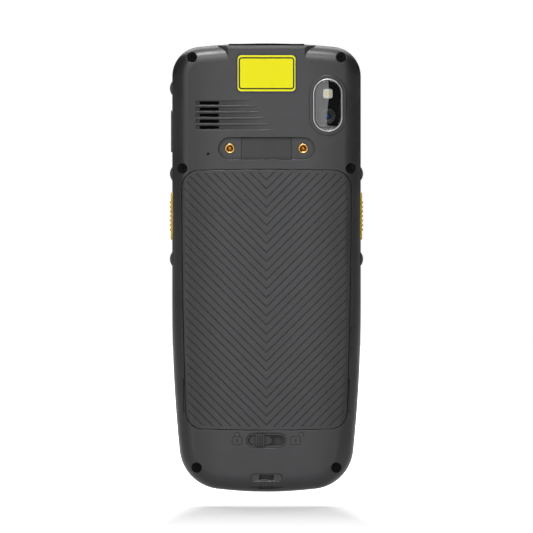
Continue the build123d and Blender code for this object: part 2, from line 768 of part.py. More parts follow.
def make_scan_key(side):
    """Side key with a ribbed middle and a flange that holds it behind the wall."""
    half = side_key_height / 2
    behind = wall + loose_gap + rim_step
    face = side_block(side, -side_key_proud, behind, half, scan_key_low_z, scan_key_high_z)
    key = fillet(face.edges().filter_by(Axis.X), side_key_corner)
    outer_face = key.faces().sort_by(Axis.X)[-1 if side > 0 else 0]
    key = fillet(outer_face.edges(), side_key_edge)
    pitch = (scan_rib_high_z - scan_rib_low_z) / (scan_rib_count - 1)
    for number in range(scan_rib_count):
        z = scan_rib_low_z + number * pitch
        key += side_block(side, -scan_rib_proud, wall / 2, half - scan_rib_inset, z - scan_rib_width / 2,
                          z + scan_rib_width / 2)
    flange_depth = wall + loose_gap + rim_step
    key += side_block(side, flange_depth, flange_depth + side_flange_thick, half + side_flange_over,
                      scan_key_low_z - side_flange_over, scan_key_high_z + side_flange_over)
    return key


rocker_z = (rocker_low_z + rocker_high_z) / 2
rocker_pin_x = half_width - rocker_pin_inset
rocker_half_y = side_key_height / 2
switch_strip_x = board_wide_half - switch_strip_inset
switch_face_x = switch_strip_x + switch_size[0]


def rocker_ears():
    """Two lugs on the right wall that hold the rocker's pin."""
    ears = None
    for side in (1, -1):
        inner = side_key_y + side * (rocker_half_y + loose_gap)
        outer = inner + side * rocker_ear_thick
        low_y, high_y = sorted((inner, outer))
        lug = block(rocker_pin_x - rocker_ear_reach, half_width - wall, low_y, high_y,
                    rocker_z - rocker_ear_reach, rocker_z + rocker_ear_reach)
        lug -= post(rocker_pin_x, rocker_z, rocker_pin_radius, low_y - cut_over, high_y + cut_over)
        ears = lug if ears is None else ears + lug
    return ears


def make_rocker_pin():
    """Pin that the rocker turns on."""
    half = rocker_half_y + loose_gap + rocker_ear_thick
    return post(rocker_pin_x, rocker_z, rocker_pin_radius, side_key_y - half, side_key_y + half)


def make_volume_rocker():
    """Rocker cap with an eye for its pin and a foot behind each end."""
    cap = side_block(1, -rocker_proud, wall, rocker_half_y, rocker_low_z, rocker_high_z)
    cap = fillet(cap.edges().filter_by(Axis.X), side_key_corner)
    cap = fillet(cap.faces().sort_by(Axis.X)[-1].edges(), side_key_edge)
    low_y, high_y = side_key_y - rocker_half_y, side_key_y + rocker_half_y
    rocker = cap + post(rocker_pin_x, rocker_z, rocker_eye_radius, low_y, high_y)
    rocker += block(rocker_pin_x, half_width - wall / 2, low_y, high_y, rocker_z - rocker_eye_radius,
                    rocker_z + rocker_eye_radius)
    foot_x = switch_face_x + rocker_foot_gap
    for z in switch_sites:
        rocker += block(foot_x, half_width - wall / 2, side_key_y - switch_size[1] / 2,
                        side_key_y + switch_size[1] / 2, z - rocker_foot / 2, z + rocker_foot / 2)
    rocker -= post(rocker_pin_x, rocker_z, rocker_pin_radius + rocker_pin_gap, -depth, depth)
    return rocker


def make_side_switches():
    """Small switches behind the side keys and the rocker, the rocker's pair on a strip."""
    across, deep, high = switch_size
    scan_z = (scan_key_low_z + scan_key_high_z) / 2
    wall_x = bay_half_width + bay_wall
    pieces = []
    for side in (1, -1):
        low_x, high_x = sorted((side * wall_x, side * (wall_x + across)))
        pieces.append(block(low_x, high_x, side_key_y - deep / 2, side_key_y + deep / 2, scan_z - high / 2,
                            scan_z + high / 2))
    strip = block(switch_strip_x - switch_strip_thick, switch_strip_x, board_back_y, side_key_y + deep / 2,
                  switch_sites[0] - high, switch_sites[-1] + high)
    for z in switch_sites:
        strip += block(switch_strip_x, switch_face_x, side_key_y - deep / 2, side_key_y + deep / 2,
                       z - high / 2, z + high / 2)
    pieces.append(strip)
    return Part() + pieces


# ---------------------------------------------------------------- scanner, camera, flash, sound
bezel_top_y = back_y + bezel_lip
camera_window_y = bezel_top_y - camera_window_sink
camera_mask_y = camera_window_y - camera_window_thick
camera_seat_y = camera_mask_y - camera_mask_thick


def make_scan_window():
    """Dark plate in the slanted step of the scanner end."""
    thick = window_thick - 2 * seat_gap
    run = window_run - 2 * seat_gap
    return tilted(window_front_y + seat_gap, run, thick, window_half - seat_gap, -2 * seat_gap)


def make_scan_engine():
    """Scan engine block with two round optics that look out of the end."""
    body = block(-engine_half, engine_half, board_back_y, engine_back_y, engine_low_z, engine_high_z)
    middle_y = (window_front_y + engine_back_y) / 2
    for x, radius in engine_optics:
        body -= Pos(x, middle_y, engine_high_z) * Cylinder(radius, 2 * engine_optic_depth)
    return body


def make_camera_bezel():
    """Bright metal ring round the camera window."""
    outer = [side + 2 * bezel_width - 2 * seat_gap for side in camera_pill]
    ring = prism(pill(camera_x, camera_z, outer), camera_seat_y, bezel_top_y)
    ring -= prism(pill(camera_x, camera_z, camera_pill), camera_seat_y - cut_over, bezel_top_y + cut_over)
    rims = ring.faces().sort_by(Axis.Y)[-1].outer_wire().edges()
    return fillet(rims, bezel_round)


def make_camera_window():
    """Glass over the camera and the flash."""
    size = [side - 2 * seat_gap for side in camera_pill]
    return prism(pill(camera_x, camera_z, size), camera_mask_y, camera_window_y)


def flash_outline(grow):
    """The flash seen from the back, grown all round."""
    size = flash_size + 2 * grow
    return plate(camera_x, flash_z, (size, size), flash_corner + grow)


def make_camera_mask():
    """Black plate behind the glass, open at the lens and the flash."""
    size = [side - 2 * seat_gap for side in camera_pill]
    mask = prism(pill(camera_x, camera_z, size), camera_seat_y, camera_mask_y)
    low_y, high_y = camera_seat_y - cut_over, camera_mask_y + cut_over
    mask -= post(camera_x, lens_z, lens_barrel_radius + lens_barrel_gap, low_y, high_y)
    return mask - prism(flash_outline(flash_gap), low_y, high_y)


def make_camera_module():
    """Camera block and its lens barrel."""
    half = camera_body / 2
    top = inner_back_y - 2 * seat_gap
    ledge, ledge_depth = lens_cup
    module = block(camera_x - half, camera_x + half, camera_body_low_y, top, lens_z - half, lens_z + half)
    module += post(camera_x, lens_z, lens_barrel_radius, top, camera_mask_y - 2 * seat_gap)
    module -= post(camera_x, lens_z, lens_radius + ledge, camera_mask_y - ledge_depth, camera_mask_y)
    return module - post(camera_x, lens_z, lens_radius, camera_mask_y - lens_sink, camera_mask_y)


def make_camera_lens():
    """Front lens, a low dome."""
    base = post(camera_x, lens_z, lens_radius, camera_mask_y - lens_sink, camera_mask_y - lens_drop)
    return fillet(base.faces().sort_by(Axis.Y)[-1].edges(), lens_round)


def make_flash_led():
    """Flash under the glass."""
    return prism(flash_outline(0), inner_back_y - loose_gap, camera_mask_y - seat_gap)


def speaker_middle():
    """Middle of the loudspeaker in x and z, behind its slots."""
    z = speaker_slot_top_z - speaker_slot_pitch * (speaker_slot_count - 1) / 2
    return (speaker_slot_outer_x + speaker_slot_inner_x) / 2, z


def make_loudspeaker():
    """Loudspeaker box with a shallow cone."""
    x, z = speaker_middle()
    across, high, deep = speaker_body
    top = inner_back_y - speaker_mesh_thick - seat_gap
    body = block(x - across / 2, x + across / 2, top - deep, top, z - high / 2, z + high / 2)
    size = (across - 2 * speaker_rim, high - 2 * speaker_rim)
    return body - prism(plate(x, z, size, speaker_cone_corner), top - speaker_cone_depth, top + cut_over)


def make_speaker_mesh():
    """Fine mesh between the loudspeaker and its slots."""
    x, z = speaker_middle()
    across, high, deep = speaker_body
    return block(x - across / 2, x + across / 2, inner_back_y - speaker_mesh_thick, inner_back_y,
                 z - high / 2, z + high / 2)


def make_earpiece():
    """Earpiece behind the slot above the screen."""
    across, high, deep = earpiece_body
    return block(-across / 2, across / 2, inner_front_y, inner_front_y + deep, earpiece_z - high / 2,
                 earpiece_z + high / 2)


# ---------------------------------------------------------------- grip recess, screws and label
def make_grip_inserts():
    """Two threaded inserts, shown by their bore."""
    inserts = []
    top = back_y - grip_recess[2]
    for side in (1, -1):
        x = side * grip_insert_spacing / 2
        insert = post(x, grip_z, grip_insert_radius, top - grip_insert_length, top)
        inserts.append(insert - post(x, grip_z, grip_insert_bore, top - grip_insert_length - cut_over,
                                   top + cut_over))
    return Part() + inserts


def make_grip_plate():
    """Plate on the floor of the sunk middle between the two inserts."""
    half_x = grip_pocket[0] / 2 - seat_gap
    half_z = grip_recess[1] / 2 - seat_gap
    top_y = grip_pocket_y + grip_plate_thick
    return block(-half_x, half_x, grip_pocket_y, top_y, grip_z - half_z, grip_z + half_z)


def make_housing_screws():
    """Screws that draw the shells together, with a six-sided socket."""
    screws = []
    for x, z, sink in screw_sites:
        for side in (1, -1):
            top = back_y - sink
            seat = top - screw_head_height
            screw = post(side * x, z, screw_head_radius, seat, top)
            screw += post(side * x, z, screw_shank_radius, screw_tip_y, seat)
            socket = Pos(side * x, z) * RegularPolygon(screw_socket_radius, 6)
            screws.append(screw - prism(socket, top - screw_socket_depth, top + cut_over))
    return Part() + screws


def make_label_plate():
    """Bare plate on the scanner's plateau."""
    return prism(plate(0, label_z, label_size, label_corner), back_y, back_y + label_thick)


# ---------------------------------------------------------------- front shell, screen and keypad
glass_back_y = front_y + glass_sink + glass_thick


def keypad_layout():
    """Every key as name, x, z and width."""
    names = (
        ("1", "2", "3", "back"),
        ("4", "5", "6", "up"),
        ("7", "8", "9", "down"),
        ("star", "0", "hash", "enter"),
    )
    keys = []
    for z, row in zip(key_rows, names):
        for x, name in zip(key_columns, row):
            keys.append((name, x, z, key_wide))
    keys.append(("function", key_columns[0], function_row_z, key_wide))
    keys.append(("scan", 0.0, function_row_z, scan_bar_width))
    keys.append(("power", key_columns[-1], function_row_z, key_wide))
    return keys


def make_key(x, z, across):
    """Key cap with a flange behind the front wall."""
    cap = prism(plate(x, z, (across, key_high), key_corner), front_y - key_proud, key_flange_y)
    cap = fillet(cap.faces().sort_by(Axis.Y)[0].edges(), key_top_round)
    size = (across + 2 * key_flange_over, key_high + 2 * key_flange_over)
    return cap + prism(plate(x, z, size, key_corner), key_flange_y, key_back_y)


def make_front_housing():
    """Front shell: wall, seat of the glass, key openings, bosses, earpiece slot and socket opening."""
    body = prism(shell_outline, front_y, parting_y)
    body = fillet(body.faces().sort_by(Axis.Y)[0].edges(), front_edge_radius)
    body -= prism(offset(shell_outline, -wall), inner_front_y, parting_y)
    for x, z, sink in screw_sites:
        for side in (1, -1):
            body += post(side * x, z, front_boss_radius, inner_front_y, parting_y) & prism(
                shell_outline, inner_front_y, parting_y)
            body -= post(side * x, z, screw_shank_radius, screw_tip_y, parting_y + cut_over)
    middle_z = (glass_low_z + glass_high_z) / 2
    size = (2 * (glass_half_width + seat_gap), glass_high_z - glass_low_z + 2 * seat_gap)
    opening = (size[0] - 2 * glass_ledge, size[1] - 2 * glass_ledge)
    body -= prism(plate(0, middle_z, size, glass_corner), front_y - cut_over, glass_back_y)
    body -= prism(plate(0, middle_z, opening, glass_corner / 2), front_y - cut_over, inner_front_y + cut_over)
    for name, x, z, across in keypad_layout():
        hole = (across + 2 * key_side_gap, key_high + 2 * key_side_gap)
        body -= prism(plate(x, z, hole, key_corner + key_side_gap), front_y - cut_over,
                      inner_front_y + cut_over)
    body -= prism(pill(0, earpiece_z, earpiece_slot), front_y - cut_over, inner_front_y + cut_over)
    middle_y = main_board_y - usb_height / 2
    body -= Pos(0, middle_y, 0) * extrude(
        SlotOverall(usb_width + 2 * usb_gap, usb_height + 2 * usb_gap), 2 * wall, both=True)
    return body


def make_display_glass():
    """Cover glass of the touch screen."""
    middle_z = (glass_low_z + glass_high_z) / 2
    size = (2 * glass_half_width, glass_high_z - glass_low_z)
    pane = prism(plate(0, middle_z, size, glass_corner), front_y + glass_sink, glass_back_y)
    return fillet(pane.faces().sort_by(Axis.Y)[0].edges(), glass_edge)


def make_display_module():
    """Display and touch sensor in their metal pan."""
    half = display_half_width
    return block(-half, half, glass_back_y, midframe_y, display_low_z, display_high_z)


def make_midframe():
    """Metal plate that carries the boards, with standoffs."""
    half = midframe_half_width
    frame = block(-half, half, midframe_y, standoff_y, board_low_z, board_high_z)
    for z in standoff_heights:
        for x in (-standoff_x, standoff_x):
            frame += post(x, z, standoff_radius, standoff_y - weld, main_board_y)
    return frame


def make_main_board():
    """Main circuit board, wide beside the rocker and with a tail at the socket."""
    board = Part()
    stretches = (
        (board_half_width, board_low_z, board_high_z),
        (board_wide_half, board_wide_low_z, board_wide_high_z),
        (board_tail_half, board_tail_z, board_low_z),
    )
    for half, low_z, high_z in stretches:
        board += block(-half, half, main_board_y, board_back_y, low_z, high_z)
    return board


def make_shield_cans():
    """Pressed lids over the radio and the processor."""
    cans = []
    for low_x, high_x, low_z in shield_sites:
        can = block(low_x, high_x, board_back_y, board_back_y + shield_height, low_z, shield_high_z)
        cans.append(fillet(can.edges().filter_by(Axis.Y), shield_corner))
    return Part() + cans


def make_vibration_motor():
    """Coin-shaped motor on the main board."""
    return post(motor_x, motor_z, motor_radius, board_back_y, board_back_y + motor_thick)


def make_usb_socket():
    """Metal shell of the charging socket with its contact tongue."""
    middle_y = main_board_y - usb_height / 2
    shell = Pos(0, middle_y, usb_low_z) * extrude(SlotOverall(usb_width, usb_height), usb_length)
    inside = Pos(0, middle_y, usb_low_z - cut_over) * extrude(
        SlotOverall(usb_width - 2 * usb_shell, usb_height - 2 * usb_shell), usb_length)
    half_x, half_y = usb_tongue[0] / 2, usb_tongue[1] / 2
    mouth_inset, far_inset = usb_tongue_inset
    tongue = block(-half_x, half_x, middle_y - half_y, middle_y + half_y, usb_low_z + mouth_inset,
                   usb_low_z + usb_length - far_inset)
    return shell - inside + tongue


def make_keypad_board():
    """Circuit board under the keys."""
    half = keypad_half_width
    return block(-half, half, keypad_board_y, midframe_y, keypad_low_z, keypad_high_z)


def make_keypad_mat():
    """Silicone sheet between the keys and their domes."""
    return block(-keypad_half_width, keypad_half_width, mat_y, dome_y, keypad_low_z, keypad_high_z)


def make_dome_switches():
    """One snap dome under each key."""
    domes = [post(x, z, dome_radius, dome_y, keypad_board_y) for name, x, z, across in keypad_layout()]
    return Part() + domes


# ---------------------------------------------------------------- all sub-parts
os.makedirs("parts", exist_ok=True)
save("rear_housing", make_rear_housing())
save("front_housing", make_front_housing())
save("housing_seal", seal_ring(0.0))
save("battery_cover", make_battery_cover())
save("cover_gasket", make_cover_gasket())
save("battery_pack", make_battery_pack())
save("battery_connector", make_battery_connector())
save("latch_slider", make_latch_slider())
save("latch_detent", make_latch_detent())
save("right_scan_key", make_scan_key(1))
save("left_scan_key", make_scan_key(-1))
save("volume_rocker", make_volume_rocker())
save("rocker_pin", make_rocker_pin())
save("side_switches", make_side_switches())
save("scan_window", make_scan_window())
save("scan_engine", make_scan_engine())
save("camera_bezel", make_camera_bezel())
save("camera_window", make_camera_window())
save("camera_mask", make_camera_mask())
save("camera_module", make_camera_module())
save("camera_lens", make_camera_lens())
save("flash_led", make_flash_led())
save("loudspeaker", make_loudspeaker())
save("speaker_mesh", make_speaker_mesh())
save("earpiece", make_earpiece())
save("grip_inserts", make_grip_inserts())
save("grip_plate", make_grip_plate())
save("housing_screws", make_housing_screws())
save("label_plate", make_label_plate())
save("display_glass", make_display_glass())
save("display_module", make_display_module())
save("midframe", make_midframe())
save("main_board", make_main_board())
save("shield_cans", make_shield_cans())
save("vibration_motor", make_vibration_motor())
save("usb_socket", make_usb_socket())
save("keypad_board", make_keypad_board())
save("keypad_mat", make_keypad_mat())
save("dome_switches", make_dome_switches())
for key_name, key_x, key_z, key_across in keypad_layout():
    save(f"key_{key_name}", make_key(key_x, key_z, key_across))
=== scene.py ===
import json
import math

import bmesh
import bpy
import numpy as np
from mathutils import Matrix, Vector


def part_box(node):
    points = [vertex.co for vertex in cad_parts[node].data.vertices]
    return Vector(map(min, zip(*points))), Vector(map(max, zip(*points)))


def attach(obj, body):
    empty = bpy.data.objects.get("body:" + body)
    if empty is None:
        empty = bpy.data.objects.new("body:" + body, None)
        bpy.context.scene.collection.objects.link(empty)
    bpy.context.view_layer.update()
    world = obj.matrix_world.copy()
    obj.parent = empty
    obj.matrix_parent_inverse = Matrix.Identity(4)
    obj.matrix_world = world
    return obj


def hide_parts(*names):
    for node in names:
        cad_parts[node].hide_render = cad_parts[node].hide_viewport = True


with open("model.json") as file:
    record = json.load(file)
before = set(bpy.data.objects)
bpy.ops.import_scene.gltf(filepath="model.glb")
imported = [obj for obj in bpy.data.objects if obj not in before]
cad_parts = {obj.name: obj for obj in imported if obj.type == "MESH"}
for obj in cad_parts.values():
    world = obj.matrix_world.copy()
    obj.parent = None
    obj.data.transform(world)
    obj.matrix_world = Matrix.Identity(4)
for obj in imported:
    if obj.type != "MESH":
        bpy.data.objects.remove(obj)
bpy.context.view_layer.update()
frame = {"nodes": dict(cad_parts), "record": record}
nodes = frame["nodes"]

# ---------------------------------------------------------------- sizes, in metres
MM = 0.001
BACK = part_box("label_plate")[0].y                     # flat middle of the back
KEY_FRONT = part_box("key_5")[0].y                      # face of the keys
MARK_RISE = 0.02 * MM                                 # printed marks stand this far off their surface
TURN_STEPS = 64                                       # points round a turned piece
SIDE_SHADE_INNER, SIDE_SHADE_OUTER = 14 * MM, 32 * MM             # painted shade darkens the back between these half widths, where the light falls off towards the sides
WALL_SHADE_START, WALL_SHADE_END = 35 * MM, 35.5 * MM             # and the side walls get less of that painted shade from here outwards
SCOOPS = (11 * MM, 141 * MM, 31 * MM, 13 * MM, 2 * MM)  # middle, size and corner of the loudspeaker's field


def middle_of(node):
    """Middle of a node's box in x and z."""
    low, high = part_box(node)
    return (low.x + high.x) / 2, (low.z + high.z) / 2


# ---------------------------------------------------------------- surfaces
def grid_faces(rows, columns, loop_rows=False, loop_columns=False):
    """Quads of a grid of points, each between a point and its next neighbours, closed round where asked."""
    row = np.arange(rows if loop_rows else rows - 1)
    column = np.arange(columns if loop_columns else columns - 1)
    row, column = np.meshgrid(row, column, indexing="ij")
    next_row = (row + 1) % rows
    next_column = (column + 1) % columns
    corners = (row * columns + column, row * columns + next_column, next_row * columns + next_column,
               next_row * columns + column)
    return np.stack(corners, axis=-1).reshape(-1, 4)


def new_mesh(name, points, faces):
    """A mesh of quads, with the object that shows it."""
    mesh = bpy.data.meshes.new(name)
    mesh.from_pydata(np.asarray(points).reshape(-1, 3).tolist(), [], np.asarray(faces).tolist())
    shown = bpy.data.objects.new(name, mesh)
    bpy.context.scene.collection.objects.link(shown)
    return mesh, shown


def new_piece(name, points, faces, finish, body, smooth=True):
    """A closed mesh with outward faces that rides on a body; doubled points at poles are merged."""
    merge_distance = 1e-7
    mesh, piece = new_mesh(name, points, faces)
    work = bmesh.new()
    work.from_mesh(mesh)
    bmesh.ops.remove_doubles(work, verts=work.verts, dist=merge_distance)
    bmesh.ops.recalc_face_normals(work, faces=work.faces)
    work.to_mesh(mesh)
    work.free()
    if smooth:
        mesh.shade_smooth()
    else:
        mesh.shade_flat()
    mesh.materials.append(finish)
    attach(piece, body)
    return piece


def turned(name, profile, x, z, finish, body):
    """A turned piece: its profile of (radius, y) goes once round an axis along Y through x and z."""
    profile = np.asarray(profile, float)
    angle = np.linspace(0, 2 * math.pi, TURN_STEPS, endpoint=False)
    radius, y = profile[:, None, 0], profile[:, None, 1]
    points = np.stack([x + radius * np.cos(angle), y + 0 * angle, z + radius * np.sin(angle)], axis=-1)
    faces = grid_faces(len(profile), TURN_STEPS, loop_rows=True, loop_columns=True)
    return new_piece(name, points, faces, finish, body)


def stroke(path, width, closed=False):
    """Left and right edges of a band of even width along a path in the plane, mitred at each point."""
    sharpest_mitre = 0.4
    path = np.asarray(path, float)
    if closed:
        before, after = path - np.roll(path, 1, axis=0), np.roll(path, -1, axis=0) - path
    else:
        run = np.diff(path, axis=0)
        before, after = np.vstack([run[:1], run]), np.vstack([run, run[-1:]])
    before = before / np.linalg.norm(before, axis=1, keepdims=True)
    after = after / np.linalg.norm(after, axis=1, keepdims=True)
    along = before + after
    along = along / np.linalg.norm(along, axis=1, keepdims=True)
    across = np.stack([-along[:, 1], along[:, 0]], axis=1)
    stretch = 1 / np.clip(np.sum(along * after, axis=1, keepdims=True), sharpest_mitre, 1)
    return path + across * stretch * width / 2, path - across * stretch * width / 2


def mark(name, strokes, y, facing, finish, body, rise=MARK_RISE):
    """Printed lines: each stroke is (path, width, closed) in x and z, a thin bar proud of the face at y."""
    points, faces = [], []
    count = 0
    for path, width, closed in strokes:
        left, right = stroke(path, width, closed)
        section = [(left, y), (left, y + facing * rise), (right, y + facing * rise), (right, y)]
        ring = np.stack([np.column_stack([edge[:, 0], np.full(len(edge), level), edge[:, 1]])
                         for edge, level in section], axis=1)
        rows, corners = ring.shape[:2]
        faces += (grid_faces(rows, corners, loop_rows=closed, loop_columns=True) + count).tolist()
        if not closed:
            first = count + np.arange(corners)
            last = count + corners * rows - 1 - np.arange(corners)
            faces += [first.tolist(), last.tolist()]
        points.append(ring.reshape(-1, 3))
        count += corners * rows
    return new_piece(name, np.concatenate(points), faces, finish, body, smooth=False)


def arc(x, z, radius, start, end, steps=24):
    """Points along part of a circle, angles in degrees."""
    angle = np.radians(np.linspace(start, end, steps))
    return np.column_stack([x + radius * np.cos(angle), z + radius * np.sin(angle)])


def round_box(x, z, width, height, corner):
    """Points round a rectangle with round corners."""
    corner_steps = 8
    half_x, half_z = width / 2 - corner, height / 2 - corner
    sides = ((half_x, half_z, 0), (-half_x, half_z, 90), (-half_x, -half_z, 180), (half_x, -half_z, 270))
    return np.concatenate([arc(x + dx, z + dz, corner, turn, turn + 90, corner_steps)
                           for dx, dz, turn in sides])


# ---------------------------------------------------------------- node patterns
NARROW, LEANING, WIDE = (0.35, 0.65), (0.35, 0.7), (0.3, 0.7)  # ranges of noise that get spread out


class Finish:
    """One material with the patterns that the terminal's finishes share, all in the terminal's own frame."""

    def __init__(self, name, colour, roughness, metallic=0.0):
        self.material = bpy.data.materials.new(name)
        self.material.use_nodes = True
        self.tree = self.material.node_tree
        self.shader = self.tree.nodes["Principled BSDF"]
        self.output = self.tree.nodes["Material Output"]
        self.put("Base Color", colour)
        self.put("Roughness", roughness)
        self.put("Metallic", metallic)
        self.place = self.node("ShaderNodeTexCoord").outputs["Object"]
        self.height = None

    def node(self, kind, **settings):
        made = self.tree.nodes.new(kind)
        for key, value in settings.items():
            setattr(made, key, value)
        return made

    def join(self, source, target):
        self.tree.links.new(source, target)

    def feed(self, socket, value):
        """Sets a socket to a number or a colour, or joins it to another socket."""
        if isinstance(value, bpy.types.NodeSocket):
            self.join(value, socket)
        elif isinstance(value, tuple) and len(value) == 3 and socket.type == "RGBA":
            socket.default_value = (*value, 1)
        else:
            socket.default_value = value

    def put(self, name, value):
        """Feeds one input of the material's own shader."""
        self.feed(self.shader.inputs[name], value)

    def maths(self, operation, *values, clamp=False):
        made = self.node("ShaderNodeMath", operation=operation, use_clamp=clamp)
        for socket, value in zip(made.inputs, values):
            self.feed(socket, value)
        return made.outputs[0]

    def add(self, first, *others):
        total = first
        for value in others:
            total = self.maths("ADD", total, value)
        return total

    def less(self, first, second, clamp=False):
        return self.maths("SUBTRACT", first, second, clamp=clamp)

    def times(self, first, second):
        return self.maths("MULTIPLY", first, second)

    def unsigned(self, value):
        return self.maths("ABSOLUTE", value)

    def length(self, first, second):
        """Length of the slant over two sides at a right angle."""
        return self.maths("SQRT", self.add(self.times(first, first), self.times(second, second)))

    def wave(self, value, pitch):
        """Sine that repeats each pitch, from -1 to 1."""
        return self.maths("SINE", self.times(value, 2 * math.pi / pitch))

    def span(self, value, low, high, to_low=0.0, to_high=1.0, soft=False):
        """Maps a value from one range to another, held at both ends."""
        made = self.node("ShaderNodeMapRange", interpolation_type="SMOOTHSTEP" if soft else "LINEAR")
        for socket, number in zip(made.inputs, (value, low, high, to_low, to_high)):
            self.feed(socket, number)
        return made.outputs[0]

    def blend(self, share, low, high, kind="MIX"):
        made = self.node("ShaderNodeMix", data_type="RGBA", blend_type=kind)
        self.feed(made.inputs["Factor"], share)
        self.feed(made.inputs[6], low)
        self.feed(made.inputs[7], high)
        return made.outputs[2]

    def noise(self, size, detail=2.0, rough=0.5, stretch=None):
        """Soft noise whose blotches are about this size, drawn out along an axis where asked."""
        made = self.node("ShaderNodeTexNoise")
        made.inputs["Scale"].default_value = 1 / size
        made.inputs["Detail"].default_value = detail
        made.inputs["Roughness"].default_value = rough
        self.join(self.stretched(stretch), made.inputs["Vector"])
        return made.outputs["Fac"]

    def cells(self, size):
        """Distance from the middles of close-packed cells of this size."""
        made = self.node("ShaderNodeTexVoronoi")
        made.inputs["Scale"].default_value = 1 / size
        self.join(self.place, made.inputs["Vector"])
        return made.outputs["Distance"]

    def stretched(self, stretch):
        if stretch is None:
            return self.place
        made = self.node("ShaderNodeMapping")
        made.inputs["Scale"].default_value = stretch
        self.join(self.place, made.inputs["Vector"])
        return made.outputs[0]

    def axes(self):
        made = self.node("ShaderNodeSeparateXYZ")
        self.join(self.place, made.inputs[0])
        return made.outputs["X"], made.outputs["Y"], made.outputs["Z"]

    def hollows(self, reach):
        """Goes from 1 on open faces to 0 in seams, grooves and corners."""
        made = self.node("ShaderNodeAmbientOcclusion", samples=6)
        made.inputs["Distance"].default_value = reach
        return made.outputs["AO"]

    def eased(self, radius):
        """The normal with each edge rounded off by this radius."""
        made = self.node("ShaderNodeBevel", samples=4)
        made.inputs["Radius"].default_value = radius
        return made.outputs[0]

    def edges(self, eased):
        """Goes from 0 on even faces to 1 along edges, where the eased normal leaves the face's own."""
        even, sharp = 0.99, 0.86
        flat = self.node("ShaderNodeNewGeometry").outputs["Normal"]
        turn = self.node("ShaderNodeVectorMath", operation="DOT_PRODUCT")
        self.join(eased, turn.inputs[0])
        self.join(flat, turn.inputs[1])
        return self.span(turn.outputs["Value"], even, sharp)

    def raise_by(self, value, height):
        """Adds a pattern to the bump: value from 0 to 1 stands for this many metres."""
        step = self.times(value, height)
        self.height = step if self.height is None else self.add(self.height, step)

    def bump(self, normal=None):
        made = self.node("ShaderNodeBump")
        made.inputs["Strength"].default_value = 1.0
        made.inputs["Distance"].default_value = 1.0
        self.join(self.height, made.inputs["Height"])
        if normal is not None:
            self.join(normal, made.inputs["Normal"])
        self.put("Normal", made.outputs[0])

    def round_box_distance(self, x, z, width, height, corner):
        """Distance outside a rectangle with round corners, below zero inside it."""
        across, _, up = self.axes()
        side = self.less(self.unsigned(self.less(across, x)), width / 2 - corner)
        rise = self.less(self.unsigned(self.less(up, z)), height / 2 - corner)
        outside = self.length(self.maths("MAXIMUM", side, 0.0), self.maths("MAXIMUM", rise, 0.0))
        inside = self.maths("MINIMUM", self.maths("MAXIMUM", side, rise), 0.0)
        return self.less(self.add(outside, inside), corner)

    def circle_distance(self, x, z):
        """Distance from an axis along Y through x and z."""
        across, _, up = self.axes()
        return self.length(self.less(across, x), self.less(up, z))

    def lets_lamps_through(self):
        """Lamps shine through this glass, so that what lies behind it is lit."""
        path = self.node("ShaderNodeLightPath")
        clear = self.node("ShaderNodeBsdfTransparent")
        mix = self.node("ShaderNodeMixShader")
        self.join(path.outputs["Is Shadow Ray"], mix.inputs[0])
        self.join(self.shader.outputs[0], mix.inputs[1])
        self.join(clear.outputs[0], mix.inputs[2])
        self.join(mix.outputs[0], self.output.inputs["Surface"])


